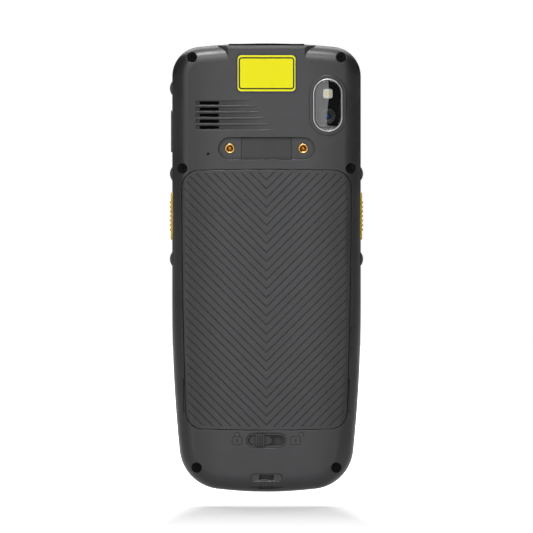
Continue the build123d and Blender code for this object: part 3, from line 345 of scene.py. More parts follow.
# ---------------------------------------------------------------- finishes
def moulded(name, dark, light, grain=0.16 * MM, edge=1.5, side_shade=0.0, scoop_shade=0.0):
    """Spark-eroded moulding: fine grain, faint mottling, handling shine, painted shade in seams and corners,
    and paler rubbed edges: wear, and with a large edge also a painted highlight.

    Towards the sides the surface is painted darker by the share given for the sides, a painted shade where
    the light falls off, and the loudspeaker's scoops get painted shade that darkens them by the share given
    for the scoops.
    """
    silky, matt, speck_roughness, rub_polish = 0.3, 0.43, 0.16, 0.12
    grain_depth, pit_depth = 0.006 * MM, 0.0048 * MM
    mottle_size, rub_size, handling_size = 5 * MM, 2.2 * MM, 14 * MM
    mottle_share, rub_share, rub_range = 0.6, 0.6, (0.42, 0.62)
    edge_width, shade_reach, shade_range, shade_tone = 0.22 * MM, 1.6 * MM, (0.42, 0.97), 0.08
    finish = Finish(name, light, matt)
    speck = finish.noise(1.4 * grain, detail=1)
    mottle = finish.noise(mottle_size, detail=3)
    tone = finish.add(finish.times(mottle, mottle_share), finish.times(speck, 1 - mottle_share))
    colour = finish.blend(finish.span(tone, *NARROW), dark, light)
    eased = finish.eased(edge_width)
    patchy = finish.span(finish.noise(rub_size, detail=4), *rub_range)
    # Paler rubbed edges: wear, and with a large edge, as on the latch's ribs, a painted highlight as well.
    rubbed = finish.times(finish.edges(eased), patchy)
    pale = tuple(channel * edge for channel in light)
    colour = finish.blend(finish.times(rubbed, rub_share), colour, pale)
    # Painted shade: darker in seams, grooves and corners, wherever ambient occlusion finds them.
    clean = finish.span(finish.hollows(shade_reach), *shade_range, shade_tone, 1.0)
    # Painted shade in the loudspeaker's sunk scoops, darker where they are deeper.
    if scoop_shade:
        shallow, deepest, border = 0.03 * MM, 0.45 * MM, 0.3 * MM
        sunk = finish.span(finish.less(BACK, finish.axes()[1]), shallow, deepest)
        inside = finish.span(finish.round_box_distance(*SCOOPS), -border, border, scoop_shade, 0.0)
        clean = finish.times(clean, finish.less(1.0, finish.times(sunk, inside)))
    # Painted shade: darker towards the sides where the light falls off, a little less on the side walls.
    if side_shade:
        reach = finish.unsigned(finish.axes()[0])
        held = finish.span(reach, SIDE_SHADE_INNER, SIDE_SHADE_OUTER, 1.0, 1.0 - side_shade, soft=True)
        wall = finish.span(reach, WALL_SHADE_START, WALL_SHADE_END, 0.0, 0.5 * side_shade)
        clean = finish.times(clean, finish.add(held, wall))
    finish.put("Base Color", finish.blend(1.0, colour, clean, kind="MULTIPLY"))
    handled = finish.span(finish.noise(handling_size, detail=4, rough=0.6), *LEANING)
    uneven = finish.times(finish.less(speck, 0.5), speck_roughness)
    level = finish.add(finish.span(handled, 0, 1, matt, silky), uneven)
    finish.put("Roughness", finish.less(level, finish.times(rubbed, rub_polish), clamp=True))
    finish.put("Specular IOR Level", 0.42)
    finish.raise_by(finish.noise(grain, detail=2, rough=0.6), grain_depth)
    finish.raise_by(finish.cells(2.1 * grain), pit_depth)
    finish.bump(eased)
    return finish.material


def moulded_rubber(name, dark, light, sheen=0.12):
    """Soft-touch rubber: silky, faintly blotched, a little paler where thumbs have polished its edges."""
    silky, matt = 0.45, 0.62
    blotch_size, polish_size = 1.6 * MM, 3 * MM
    edge_width, edge_gain, rub_share = 0.18 * MM, 1.25, 0.35
    shade_reach, shade_range, shade_tone = 0.7 * MM, (0.2, 0.85), 0.5
    skin_size, skin_depth = 0.09 * MM, 0.003 * MM
    sink_size, sink_depth = 0.8 * MM, 0.004 * MM
    finish = Finish(name, light, matt)
    colour = finish.blend(finish.span(finish.noise(blotch_size, detail=3), *NARROW), dark, light)
    eased = finish.eased(edge_width)
    pale = tuple(min(1.0, edge_gain * channel) for channel in light)
    colour = finish.blend(finish.times(finish.edges(eased), rub_share), colour, pale)
    # Painted shade: darker in seams and corners, wherever ambient occlusion finds them.
    clean = finish.span(finish.hollows(shade_reach), *shade_range, shade_tone, 1.0)
    finish.put("Base Color", finish.blend(1.0, colour, clean, kind="MULTIPLY"))
    finish.put("Roughness", finish.span(finish.noise(polish_size, detail=4), *LEANING, silky, matt))
    finish.put("Sheen Weight", sheen)
    finish.put("Sheen Roughness", 0.4)
    finish.raise_by(finish.noise(skin_size, detail=2), skin_depth)
    finish.raise_by(finish.noise(sink_size, detail=1), sink_depth)
    finish.bump(eased)
    return finish.material


def label_film():
    """Yellow printed film: a thin navy outline, a dark inner border line and a slightly warmer middle."""
    outline, outline_corner = 0.42 * MM, 1.45 * MM
    inset_x, inset_z, line_corner = 1.05 * MM, 1.4 * MM, 0.9 * MM
    line_half, line_edge, print_edge = 0.27 * MM, 0.03 * MM, 0.03 * MM
    ink_depth, ripple_size, ripple_depth = 0.004 * MM, 1.5 * MM, 0.003 * MM
    grain_size, blend_width, wear_size = 0.5 * MM, 0.1 * MM, 4 * MM
    silky, matt = 0.26, 0.4
    low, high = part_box("label_plate")
    x, z = middle_of("label_plate")
    width, height = high.x - low.x, high.z - low.z
    finish = Finish("label_film", (1.0, 0.95, 0.01), 0.32)
    rim = finish.round_box_distance(x, z, width - 2 * outline, height - 2 * outline, outline_corner)
    line = finish.round_box_distance(x, z, width - 2 * inset_x, height - 2 * inset_z, line_corner)
    grain = finish.noise(grain_size, detail=2)
    inner = finish.blend(grain, (1.0, 0.91, 0.006), (1.0, 0.95, 0.01))
    outer = finish.blend(grain, (1.0, 0.95, 0.006), (1.0, 0.99, 0.01))
    colour = finish.blend(finish.span(line, -blend_width, 0.0), inner, outer)
    on_line = finish.span(finish.unsigned(line), line_half - line_edge, line_half + line_edge, 1.0, 0.0)
    colour = finish.blend(on_line, colour, (0.035, 0.03, 0.02))
    colour = finish.blend(finish.span(rim, -print_edge, print_edge), colour, (0.05, 0.05, 0.11))
    finish.put("Base Color", colour)
    finish.put("Roughness", finish.span(finish.noise(wear_size, detail=3), *WIDE, silky, matt))
    finish.put("Specular IOR Level", 0.15)
    finish.raise_by(on_line, ink_depth)
    finish.raise_by(finish.noise(ripple_size, detail=1), ripple_depth)
    finish.bump()
    return finish.material


def metal(name, colour, roughness, grain, stretch=(1, 1, 1), tarnish=0.2):
    """Turned, stamped or polished metal: fine tool lines along one direction and a faint uneven tarnish."""
    tarnish_size, line_depth, edge_width = 1.2 * MM, 0.002 * MM, 0.08 * MM
    polished, dulled = 0.75, 1.35
    finish = Finish(name, colour, roughness, metallic=1.0)
    dull = tuple(channel * (1 - tarnish) for channel in colour)
    bright = finish.span(finish.noise(tarnish_size, detail=4), *LEANING)
    finish.put("Base Color", finish.blend(bright, dull, colour))
    lines = finish.noise(grain, detail=3, stretch=stretch)
    dullest = min(1.0, dulled * roughness)
    finish.put("Roughness", finish.span(lines, *WIDE, polished * roughness, dullest))
    finish.raise_by(lines, line_depth)
    finish.bump(finish.eased(edge_width))
    return finish.material


def clear_glass():
    """Clear glass that lamps pass, with the faintest smears in its gloss."""
    smear, smear_size, smear_range = 0.012, 3 * MM, (0.5, 0.8)
    finish = Finish("camera_glass", (0.82, 0.83, 0.85), smear)
    finish.put("Transmission Weight", 1.0)
    finish.put("IOR", 1.55)
    finish.put("Roughness", finish.span(finish.noise(smear_size, detail=4), *smear_range, 0.0, smear))
    finish.lets_lamps_through()
    return finish.material


def screen_glass():
    """Black cover glass: a printed border round a faintly lighter screen, with wiped smears."""
    border, corner, print_edge = 1 * MM, 0.4 * MM, 0.05 * MM
    dot_size, smear_size, smear_range = 0.12 * MM, 9 * MM, (0.4, 0.75)
    clean, smeared = 0.03, 0.12
    low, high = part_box("display_module")
    width, height = high.x - low.x - 2 * border, high.z - low.z - 2 * border
    finish = Finish("screen_glass", (0.006, 0.006, 0.007), 0.06)
    window = finish.round_box_distance(*middle_of("display_module"), width, height, corner)
    panel = finish.blend(finish.noise(dot_size, detail=0), (0.012, 0.013, 0.016), (0.018, 0.019, 0.023))
    beyond = finish.span(window, -print_edge, print_edge)
    finish.put("Base Color", finish.blend(beyond, panel, (0.003, 0.003, 0.0035)))
    smear = finish.noise(smear_size, detail=5, rough=0.6, stretch=(1, 1, 0.35))
    finish.put("Roughness", finish.span(smear, *smear_range, clean, smeared))
    finish.put("Specular IOR Level", 0.55)
    return finish.material


def scan_pane():
    """Dark red pane of the scanner: nearly black from outside, glossy."""
    depth_size, smear_size, smear_range = 6 * MM, 4 * MM, (0.4, 0.8)
    clean, smeared = 0.03, 0.11
    finish = Finish("scan_pane", (0.012, 0.002, 0.003), 0.05)
    depth = finish.span(finish.noise(depth_size, detail=2), *NARROW)
    finish.put("Base Color", finish.blend(depth, (0.006, 0.001, 0.0015), (0.02, 0.002, 0.003)))
    finish.put("Roughness", finish.span(finish.noise(smear_size, detail=4), *smear_range, clean, smeared))
    finish.put("Specular IOR Level", 0.5)
    return finish.material


def woven_mesh():
    """Fine black acoustic mesh: crossing threads with dark holes between them."""
    pitch, thread_height, thread_range = 0.32 * MM, 0.05 * MM, (0.55, 0.9)
    finish = Finish("woven_mesh", (0.02, 0.02, 0.021), 0.8)
    finish.put("Specular IOR Level", 0.08)
    across, _, up = finish.axes()
    warp, weft = (finish.span(finish.wave(axis, pitch), -1, 1) for axis in (across, up))
    thread = finish.maths("MAXIMUM", warp, weft)
    on_thread = finish.span(thread, *thread_range)
    finish.put("Base Color", finish.blend(on_thread, (0.0005, 0.0005, 0.0005), (0.006, 0.006, 0.0065)))
    finish.raise_by(thread, thread_height)
    finish.bump()
    return finish.material


def flash_finish():
    """Flash under its moulded lens: white chip carrier, yellow phosphor in the middle, faint rings."""
    phosphor_inner, phosphor_outer = 0.35 * MM, 1.25 * MM
    ring_pitch, ring_depth = 0.26 * MM, 0.012 * MM
    finish = Finish("flash_phosphor", (0.85, 0.83, 0.74), 0.22)
    far = finish.circle_distance(*middle_of("flash_led"))
    yellow = finish.span(far, phosphor_inner, phosphor_outer, 1.0, 0.0, soft=True)
    finish.put("Base Color", finish.blend(yellow, (0.38, 0.372, 0.33), (0.44, 0.35, 0.1)))
    finish.put("Coat Weight", 0.4)
    finish.put("Coat Roughness", 0.12)
    finish.raise_by(finish.span(finish.wave(far, ring_pitch), -1, 1), ring_depth)
    finish.bump()
    return finish.material


def coated_lens():
    """Small lens with a blue anti-reflection coating, whose glint is painted into its colour: a painted
    reflection, bluest in its middle.
    """
    glint_inner, glint_outer = 0.1 * MM, 1.0 * MM
    finish = Finish("coated_lens", (0.01, 0.02, 0.08), 0.04)
    far = finish.circle_distance(*middle_of("camera_lens"))
    # Painted reflection: the coating's blue glint, brightest in the middle and fading outward.
    outward = finish.span(far, glint_inner, glint_outer, soft=True)
    finish.put("Base Color", finish.blend(outward, (0.012, 0.05, 0.18), (0.003, 0.005, 0.014)))
    finish.put("Specular IOR Level", 0.06)
    finish.put("Coat Weight", 0.05)
    finish.put("Coat Roughness", 0.02)
    finish.put("Coat Tint", (0.35, 0.5, 1.0))
    return finish.material


def circuit_board():
    """Green lacquered board with fine copper runs showing through."""
    run_pitch, run_height, run_range = 1.1 * MM, 0.03 * MM, (0.2, 0.5)
    patch_size, patch_range = 6 * MM, (0.48, 0.52)
    finish = Finish("circuit_board", (0.01, 0.09, 0.04), 0.35)
    across, _, up = finish.axes()
    slanted = finish.span(finish.wave(finish.add(across, up), run_pitch), *run_range)
    patch = finish.span(finish.noise(patch_size, detail=1), *patch_range)
    track = finish.times(slanted, patch)
    finish.put("Base Color", finish.blend(track, (0.008, 0.07, 0.03), (0.03, 0.17, 0.07)))
    finish.put("Coat Weight", 0.5)
    finish.raise_by(track, run_height)
    finish.bump()
    return finish.material


def battery_wrap():
    """Satin wrap of the battery: dark, faintly leathery, with a lighter bare field for its data."""
    field_width, field_height, field_corner = 0.82, 0.7, 2.0 * MM
    print_edge, leather_size, leather_depth, edge_width = 0.08 * MM, 0.25 * MM, 0.004 * MM, 0.2 * MM
    tone_size, silky, matt = 2.5 * MM, 0.38, 0.55
    low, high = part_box("battery_pack")
    width, height = high.x - low.x, high.z - low.z
    finish = Finish("battery_wrap", (0.03, 0.03, 0.033), 0.45)
    field = finish.round_box_distance(0.0, low.z + height / 2, field_width * width, field_height * height,
                                      field_corner)
    tone = finish.noise(tone_size, detail=3)
    wrap = finish.blend(tone, (0.022, 0.022, 0.024), (0.034, 0.034, 0.037))
    paper = finish.blend(tone, (0.36, 0.37, 0.38), (0.42, 0.43, 0.44))
    finish.put("Base Color", finish.blend(finish.span(field, -print_edge, print_edge), paper, wrap))
    finish.put("Roughness", finish.span(tone, *WIDE, silky, matt))
    finish.raise_by(finish.noise(leather_size, detail=2), leather_depth)
    finish.bump(finish.eased(edge_width))
    return finish.material


def printed(name, colour, roughness, gloss=0.5):
    """Print, paint or engraving fill, slightly uneven in tone."""
    thin_share, blot_size, blot_range = 0.8, 0.3 * MM, (0.3, 0.6)
    finish = Finish(name, colour, roughness)
    thin = tuple(channel * thin_share for channel in colour)
    cover = finish.span(finish.noise(blot_size, detail=3), *blot_range)
    finish.put("Base Color", finish.blend(cover, thin, colour))
    finish.put("Specular IOR Level", gloss)
    return finish.material


yellow_dark, yellow_light = (0.62, 0.40, 0.008), (0.75, 0.50, 0.012)
finishes = {
    # The housing gets painted shade towards its sides and in the loudspeaker's scoops.
    "housing": moulded("moulded_housing", (0.043, 0.0433, 0.046), (0.05, 0.0504, 0.0535), side_shade=0.6,
                       scoop_shade=0.65),
    # The latch's large edge makes its rubbed edges paler still: wear, and a painted highlight along its
    # ribs.
    "latch": moulded("moulded_latch", (0.022, 0.022, 0.023), (0.032, 0.032, 0.034), 0.12 * MM, edge=3.0),
    "side_key": moulded_rubber("yellow_rubber", yellow_dark, yellow_light),
    "rocker": moulded_rubber("black_rubber", (0.012, 0.012, 0.013), (0.02, 0.02, 0.021)),
    "key": moulded_rubber("key_rubber", (0.028, 0.028, 0.031), (0.04, 0.04, 0.043)),
    "scan_key": moulded_rubber("scan_key_rubber", yellow_dark, yellow_light),
    "rubber": moulded_rubber("seal_rubber", (0.012, 0.012, 0.012), (0.022, 0.022, 0.022), sheen=0.05),
    "glass": screen_glass(),
    "window": scan_pane(),
    "lens": coated_lens(),
    "screen": printed("display_pan", (0.03, 0.03, 0.035), 0.3),
    "metal": metal("stamped_steel", (0.62, 0.61, 0.59), 0.32, 0.25 * MM, stretch=(1, 1, 0.06)),
    "spring": metal("blued_spring", (0.05, 0.052, 0.06), 0.35, 0.2 * MM, stretch=(0.1, 1, 1)),
    "board": circuit_board(),
    "inner_plastic": moulded("inner_plastic", (0.012, 0.012, 0.013), (0.02, 0.02, 0.022), 0.2 * MM),
    "mesh": woven_mesh(),
    "mask": printed("black_mask", (0.0015, 0.0015, 0.0017), 0.7, gloss=0.05),
    "bezel": metal("polished_rim", (0.42, 0.42, 0.43), 0.22, 0.2 * MM, tarnish=0.06),
    "flash": flash_finish(),
    "insert": metal("turned_brass", (0.82, 0.54, 0.19), 0.27, 0.15 * MM, stretch=(0.2, 1, 0.2),
                    tarnish=0.25),
    "screw": metal("black_screw", (0.009, 0.009, 0.0095), 0.45, 0.12 * MM, tarnish=0.4),
    "label": label_film(),
    "battery": battery_wrap(),
}


def dress(node, material):
    mesh = nodes[node].data
    mesh.materials.clear()
    mesh.materials.append(material)


for part in frame["record"]["subparts"]:
    dress(part["node"], finishes[part["material_slot"]])
dress("grip_plate", moulded("moulded_plate", (0.031, 0.031, 0.032), (0.037, 0.037, 0.038), 0.1 * MM))


# ---------------------------------------------------------------- camera group
def camera_glass():
    """Crowned pill of clear glass: height falls off with the square of the distance from its centre line.

    The centre line leans a little to one side. Both faces have the same crown, so what lies behind stays in
    place.
    """
    crown, lean = 0.16 * MM, -0.11
    round_steps, straight_steps, rings = 24, 10, 14
    low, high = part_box("camera_window")
    x, z = middle_of("camera_window")
    radius = (high.x - low.x) / 2
    straight = (high.z - low.z) / 2 - radius
    turn = np.radians(np.linspace(0, 180, round_steps))
    upper = np.stack([np.cos(turn), np.sin(turn), np.full(round_steps, straight)], axis=1)
    left = np.stack([np.full(straight_steps, -1.0), np.zeros(straight_steps),
                     np.linspace(straight, -straight, straight_steps + 2)[1:-1]], axis=1)
    rim = np.concatenate([upper, left, upper * (-1, -1, -1), left * (-1, -1, -1)])
    share = np.linspace(0, 1, rings)[:, None]
    side = share * rim[:, 0] - lean * rim[:, 2] / straight * (1 - share)
    fall = np.clip(side**2 + (share * rim[:, 1]) ** 2, 0, 1)
    across, up = x + share * radius * rim[:, 0], z + rim[:, 2] + share * radius * rim[:, 1]
    top = np.stack([across, high.y - crown * fall, up], axis=-1)
    bottom = top[::-1] - (0, high.y - crown - low.y, 0)
    faces = grid_faces(2 * rings, len(rim), loop_columns=True)
    points = np.concatenate([top, bottom])
    piece = new_piece("camera_glass", points, faces, clear_glass(), "terminal")
    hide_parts("camera_window")


def camera_rings():
    """Stepped baffle and front lens inside the barrel, turned about the camera's axis.

    The lens is a dome: its height falls off with the square of the distance from the axis.
    """
    step, sag, play, dome_steps = 0.05 * MM, 0.28 * MM, 0.05 * MM, 14
    outer, first, second, last = 2.72 * MM, 2.3 * MM, 1.9 * MM, 1.85 * MM
    slope = 0.05 * MM
    low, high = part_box("camera_lens")
    x, z = middle_of("camera_lens")
    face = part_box("camera_module")[1].y
    radius = high.x - x
    baffle = [(outer, face - 2 * step), (outer, face + step), (first, face + 0.8 * step),
              (first - slope, face + 0.4 * step), (second, face + 0.4 * step), (last, high.y + 0.3 * step),
              (radius + play, high.y), (radius + play, high.y - 2 * step)]
    barrel_black = printed("barrel_black", (0.03, 0.03, 0.031), 0.6, gloss=0.08)
    turned("lens_baffle", baffle, x, z, barrel_black, "terminal")
    dome = [(radius * share, high.y - sag * share**2) for share in np.linspace(0, 1, dome_steps)]
    dome += [(radius, low.y), (0.0, low.y)]
    piece = turned("front_lens", dome, x, z, finishes["lens"], "terminal")
    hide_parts("camera_lens")


camera_glass()
camera_rings()


# ---------------------------------------------------------------- threaded inserts
def inserts():
    """Turned brass inserts: a rounded lip, a funnel, and a bore whose radius follows a 60 degree saw."""
    wall, lip, bore, lip_steps = 0.12 * MM, 1.25 * MM, 1.0 * MM, 13
    funnel, thread_depth, pitch, turns = 0.75 * MM, 0.16 * MM, 0.45 * MM, 6
    drill_point = 0.35 * MM
    low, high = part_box("grip_inserts")
    seat = (high.z - low.z) / 2
    outer = seat - wall
    z = (low.z + high.z) / 2
    lip_radius, lip_middle = (outer - lip) / 2, (outer + lip) / 2
    profile = [(outer, low.y), (outer, high.y - lip_radius)]
    profile += [(lip_middle + lip_radius * math.cos(turn), high.y - lip_radius * (1 - math.sin(turn)))
                for turn in np.radians(np.linspace(0, 180, lip_steps))]
    top = high.y - funnel
    profile += [(bore, top)]
    profile += [(bore - thread_depth * (number % 2), top - number * pitch / 2)
                for number in range(1, 2 * turns + 1)]
    floor = top - (turns + 0.5) * pitch
    profile += [(bore - thread_depth, floor), (0.0, floor - drill_point), (0.0, low.y)]
    for side, x in (("left", low.x + seat), ("right", high.x - seat)):
        piece = turned(f"grip_insert_{side}", profile, x, z, finishes["insert"], "terminal")
        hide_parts("grip_inserts")


inserts()


# ---------------------------------------------------------------- latch
def padlock(name, x, shackle_turn, finish):
    """A small padlock: round-cornered body, a shackle above it, closed or swung aside, and a keyhole."""
    line, middle_z = 0.34 * MM, 20.3 * MM
    body_width, body_height, body_corner, body_drop = 3.6 * MM, 2.9 * MM, 0.45 * MM, 0.75 * MM
    radius, leg, open_gap = 1.0 * MM, 0.7 * MM, 0.385 * MM
    hole, hole_rise, slot_top, slot_foot = 0.2 * MM, 0.25 * MM, 0.1 * MM, 0.65 * MM
    body_z = middle_z - body_drop
    top = body_z + body_height / 2
    foot = x + shackle_turn * 2 * radius
    free_end = top if shackle_turn == 0 else top + open_gap
    shackle = np.concatenate([[[foot + radius, free_end]], arc(foot, top + leg, radius, 0, 180),
                              [[foot - radius, top]]])
    strokes = [(round_box(x, body_z, body_width, body_height, body_corner), line, True),
               (shackle, line, False),
               ([(x, body_z + slot_top), (x, body_z - slot_foot)], line, False),
               (arc(x, body_z + hole_rise, hole, 0, 345), line, True)]
    mark(name, strokes, BACK - MARK_RISE / 2, 1, finish, "terminal")


def latch_shield():
    """Thin dark strip behind the latch's slot: a flat pill, its two faces joined by a straight edge."""
    play, thick = 0.08 * MM, 0.12 * MM
    width, height, corner = 17.5 * MM, 5.6 * MM, 2.7 * MM
    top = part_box("latch_slider")[0].y - play
    z = middle_of("latch_detent")[1]
    rim = round_box(0.0, z, width, height, corner)
    levels = [(0.0, top), (1.0, top), (1.0, top - thick), (0.0, top - thick)]
    points = np.stack([np.column_stack([share * rim[:, 0], np.full(len(rim), y),
                                        z + share * (rim[:, 1] - z)]) for share, y in levels])
    faces = grid_faces(len(levels), len(rim), loop_columns=True)
    new_piece("latch_shield", points, faces, finishes["latch"], "terminal", smooth=False)


engraved = printed("engraved_line", (0.008, 0.008, 0.009), 0.6)
padlock("padlock_closed", 11.0 * MM, 0, engraved)
padlock("padlock_open", -10.9 * MM, -1, engraved)
latch_shield()

# ---------------------------------------------------------------- legends on the keys
legend_ink = printed("legend_ink", (0.72, 0.73, 0.74), 0.45)
dark_ink = printed("dark_ink", (0.02, 0.02, 0.021), 0.45)
SIGN_REACH, SIGN_LINE = 1.5 * MM, 0.42 * MM


def character(key, text, size):
    """One printed character, cut from the built-in face, flat on the key and facing the reader."""
    name = f"legend_{key}"
    curve = bpy.data.curves.new("legend", "FONT")
    curve.body, curve.size, curve.align_x = text, size, "CENTER"
    curve.extrude = MARK_RISE / 2
    holder = bpy.data.objects.new("legend", curve)
    bpy.context.scene.collection.objects.link(holder)
    bpy.context.view_layer.update()
    mesh = bpy.data.meshes.new_from_object(holder.evaluated_get(bpy.context.evaluated_depsgraph_get()))
    bpy.data.objects.remove(holder)
    flat = np.zeros(len(mesh.vertices) * 3, np.float32)
    mesh.vertices.foreach_get("co", flat)
    flat = flat.reshape(-1, 3)
    half_side, half_rise, _ = (flat.max(axis=0) + flat.min(axis=0)) / 2
    x, z = middle_of(key)
    placed = np.column_stack([x + flat[:, 0] - half_side, KEY_FRONT - flat[:, 2],
                              z + flat[:, 1] - half_rise])
    mesh.vertices.foreach_set("co", placed.astype(np.float32).ravel())
    mesh.update()
    mesh.materials.clear()
    mesh.materials.append(legend_ink)
    mesh.name = name
    piece = bpy.data.objects.new(name, mesh)
    bpy.context.scene.collection.objects.link(piece)
    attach(piece, key)


def sign(key, strokes, ink):
    mark(f"legend_{key}", strokes, KEY_FRONT + MARK_RISE / 2, -1, ink, key)


def line_signs():
    """Arrows and a return sign, as open lines about each key's middle in units of the sign's reach."""
    shapes = {
        "key_up": [[(-1, -0.6), (0, 0.7), (1, -0.6)]],
        "key_down": [[(-1, 0.6), (0, -0.7), (1, 0.6)]],
        "key_back": [[(1.3, 0), (-1.2, 0)], [(-0.5, 0.75), (-1.3, 0), (-0.5, -0.75)]],
        "key_enter": [[(1.2, 0.8), (1.2, -0.2), (-1.2, -0.2)], [(-0.6, 0.4), (-1.3, -0.2), (-0.6, -0.8)]],
    }
    for key, lines in shapes.items():
        sign(key, [(np.array(middle_of(key)) + SIGN_REACH * np.array(line), SIGN_LINE, False)
                   for line in lines], legend_ink)


def round_signs():
    """A power sign, three quarters of a ring and a bar, and a page sign for functions."""
    x, z = middle_of("key_power")
    bar = [(x, z + 1.15 * SIGN_REACH), (x, z + 0.2 * SIGN_REACH)]
    ring = arc(x, z, SIGN_REACH, 125, 415, steps=32)
    sign("key_power", [(ring, SIGN_LINE, False), (bar, SIGN_LINE, False)], legend_ink)
    x, z = middle_of("key_function")
    page = round_box(x, z, 1.7 * SIGN_REACH, 1.7 * SIGN_REACH, 0.3 * SIGN_REACH)
    dash = [(x - 0.4 * SIGN_REACH, z), (x + 0.4 * SIGN_REACH, z)]
    sign("key_function", [(page, SIGN_LINE, True), (dash, SIGN_LINE, False)], legend_ink)


def scan_bars():
    """Upright bars side by side, each given by its place and width in millimetres."""
    x, z = middle_of("key_scan")
    bars = ((-3.2, 0.5), (-2.3, 0.3), (-1.6, 0.6), (-0.6, 0.3), (0.1, 0.3), (0.9, 0.7), (1.9, 0.3),
            (2.6, 0.5), (3.3, 0.3))
    foot, head = z - SIGN_REACH, z + SIGN_REACH
    strokes = [([(x + place * MM, foot), (x + place * MM, head)], width * MM, False)
               for place, width in bars]
    sign("key_scan", strokes, dark_ink)


for digit in "0123456789":
    character(f"key_{digit}", digit, size=4.2 * MM)
character("key_star", "*", size=6.0 * MM)
character("key_hash", "#", size=3.8 * MM)
line_signs()
round_signs()
scan_bars()


# ---------------------------------------------------------------- battery contacts
def battery_contacts():
    """Five gilt strips side by side near the battery's upper edge, each a flat bar."""
    count, pitch, width, rise, sunk = 5, 2.0 * MM, 0.7 * MM, 0.1 * MM, 0.06 * MM
    below_top, length = 1.6 * MM, 3.9 * MM
    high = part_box("battery_pack")[1]
    upper = high.z - below_top
    places = [(number - (count - 1) / 2) * pitch for number in range(count)]
    strokes = [([(x, upper - length), (x, upper)], width, False) for x in places]
    gilt = metal("gilt_battery_contacts", (0.86, 0.62, 0.25), 0.22, 0.1 * MM, tarnish=0.1)
    mark("battery_contacts", strokes, high.y - sunk, 1, gilt, "battery_pack", rise)


battery_contacts()


# ---------------------------------------------------------------- studio
def floor_paper():
    """Paper that keeps the shadow in front of the terminal and glows to white elsewhere.

    To the camera, to gloss and through glass it glows more with the distance from the terminal. To the
    camera alone it also glows right under the terminal, behind it, and beside a strip that widens one way.
    """
    near, far, near_glow, far_glow = 0.06, 0.5, 0.21, 0.6
    under_width, under_depth, under_start, under_end, under_glow = 0.034, 0.012, 0.7, 2.0, 0.3
    behind_start, behind_end, behind_glow = -0.012, 0.018, 0.36
    strip_slope, strip_start, strip_end, strip_glow = 0.1, 0.018, 0.03, 0.3
    white, grey = (0.8, 0.8, 0.8), (0.3, 0.3, 0.3)
    paper = Finish("floor_paper", white, 0.9)
    path = paper.node("ShaderNodeLightPath")
    camera = path.outputs["Is Camera Ray"]
    seen = paper.add(camera, path.outputs["Is Glossy Ray"], path.outputs["Is Transmission Ray"])
    seen = paper.maths("MINIMUM", seen, 1.0)
    paper.put("Base Color", paper.blend(seen, grey, white))
    across, along, _ = paper.axes()
    level = paper.span(paper.length(across, along), near, far, near_glow, far_glow, soft=True)
    wide, deep = paper.maths("DIVIDE", across, under_width), paper.maths("DIVIDE", along, under_depth)
    strip = paper.less(paper.unsigned(across), paper.times(along, strip_slope))
    under = paper.length(wide, deep)
    plain = paper.add(paper.span(under, under_start, under_end, under_glow, 0.0, soft=True),
                      paper.span(along, behind_start, behind_end, behind_glow, 0.0, soft=True),
                      paper.span(strip, strip_start, strip_end, 0.0, strip_glow, soft=True))
    glow = paper.node("ShaderNodeEmission")
    paper.join(paper.add(paper.times(seen, level), paper.times(camera, plain)), glow.inputs["Strength"])
    both = paper.node("ShaderNodeAddShader")
    paper.join(paper.shader.outputs[0], both.inputs[0])
    paper.join(glow.outputs[0], both.inputs[1])
    paper.join(both.outputs[0], paper.output.inputs["Surface"])
    return paper.material


def studio_floor():
    """Pale floor: a flat grid of points, a little below the terminal, which hovers over it."""
    half_side, count, drop = 4.0, 5, 4.8 * MM
    side = np.linspace(-half_side, half_side, count)
    x, y = np.meshgrid(side, side)
    mesh, floor = new_mesh("floor", np.stack([x, y, 0 * x - drop], axis=-1), grid_faces(count, count))
    mesh.materials.append(floor_paper())


def studio_curtain():
    """Black curtain all round: an upright wall on a circle.

    Only reflections and what lies behind glass see it, so gloss stays dark and the light stays even.
    """
    radius, height, steps = 2.6, 5.0, 48
    turn = np.radians(np.linspace(0, 360, steps + 1))
    foot = np.stack([radius * np.cos(turn), radius * np.sin(turn), np.zeros(len(turn))], axis=1)
    points = np.concatenate([foot, foot + (0, 0, height)])
    mesh, curtain = new_mesh("curtain", points, grid_faces(2, len(turn)))
    mesh.materials.append(Finish("black_cloth", (0.004, 0.004, 0.004), 1.0).material)
    for ray in ("camera", "diffuse", "shadow"):
        setattr(curtain, "visible_" + ray, False)


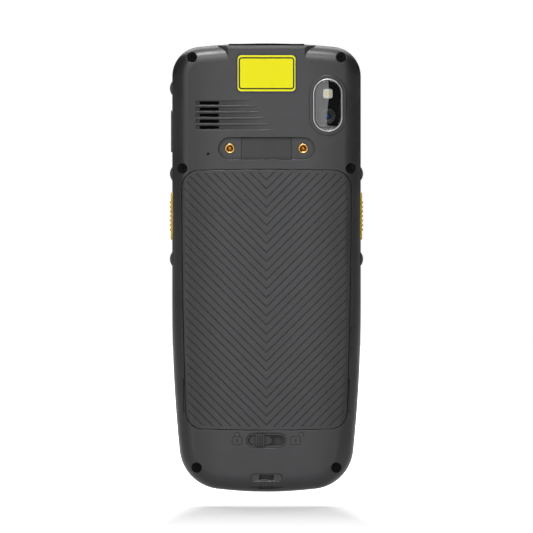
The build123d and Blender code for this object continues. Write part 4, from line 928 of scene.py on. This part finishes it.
def studio_world():
    """White to the camera, to gloss and through glass, and an even grey light to all other rays."""
    grey, white = 0.14, 1.0
    world = bpy.data.worlds.new("studio")
    bpy.context.scene.world = world
    world.use_nodes = True
    tree = world.node_tree
    path = tree.nodes.new("ShaderNodeLightPath")
    ground = tree.nodes["Background"]
    ground.inputs["Color"].default_value = (1, 1, 1, 1)
    seen = path.outputs["Is Camera Ray"]
    for ray in ("Is Glossy Ray", "Is Transmission Ray"):
        larger = tree.nodes.new("ShaderNodeMath")
        larger.operation = "MAXIMUM"
        tree.links.new(seen, larger.inputs[0])
        tree.links.new(path.outputs[ray], larger.inputs[1])
        seen = larger.outputs[0]
    strength = tree.nodes.new("ShaderNodeMapRange")
    strength.inputs["To Min"].default_value = grey
    strength.inputs["To Max"].default_value = white
    tree.links.new(seen, strength.inputs["Value"])
    tree.links.new(strength.outputs[0], ground.inputs["Strength"])


def softbox(name, place, size, power, gloss_only=False):
    """A rectangular lamp at a place, turned towards the terminal's middle; it may light gloss alone."""
    middle_height = 0.09
    lamp = bpy.data.lights.new(name, "AREA")
    lamp.shape, lamp.size, lamp.size_y, lamp.energy = "RECTANGLE", *size, power
    back = place - np.array((0.0, 0.0, middle_height))
    back /= np.linalg.norm(back)
    side = np.cross((0, 0, 1), back)
    side /= np.linalg.norm(side)
    axes = np.stack([side, np.cross(back, side), back], axis=1)
    holder = bpy.data.objects.new(name, lamp)
    holder.matrix_world = Matrix([(*row, spot) for row, spot in zip(axes, place)] + [(0, 0, 0, 1)])
    holder.visible_diffuse = not gloss_only
    bpy.context.scene.collection.objects.link(holder)


def studio_camera():
    """Long lens, level with the middle of the view and square to the back."""
    sensor, distance, reach = 36.0, 2.0, 20.0
    view_width, aim_height = 0.1999, 0.08456
    lens = bpy.data.cameras.new("camera")
    lens.sensor_width = sensor
    lens.lens = sensor * distance / view_width
    lens.clip_end = reach
    holder = bpy.data.objects.new("camera", lens)
    holder.location = (0.0, distance, aim_height)
    holder.rotation_euler = (math.pi / 2, 0.0, math.pi)
    bpy.context.scene.collection.objects.link(holder)
    bpy.context.scene.camera = holder


studio_floor()
studio_world()
studio_curtain()
softbox("rim_light", place=(0.15, 0.6, 1.5), size=(0.45, 0.4), power=22.0, gloss_only=True)
softbox("key_light", place=(0.1, 1.7, 1.3), size=(1.5, 0.9), power=26.0)
softbox("back_fill", place=(0.66, 2.15, 0.35), size=(1.5, 1.45), power=13.0)
softbox("front_fill", place=(0.0, -1.35, 1.75), size=(2.2, 1.4), power=34.0)
studio_camera()
bpy.context.scene.view_settings.view_transform = "Standard"
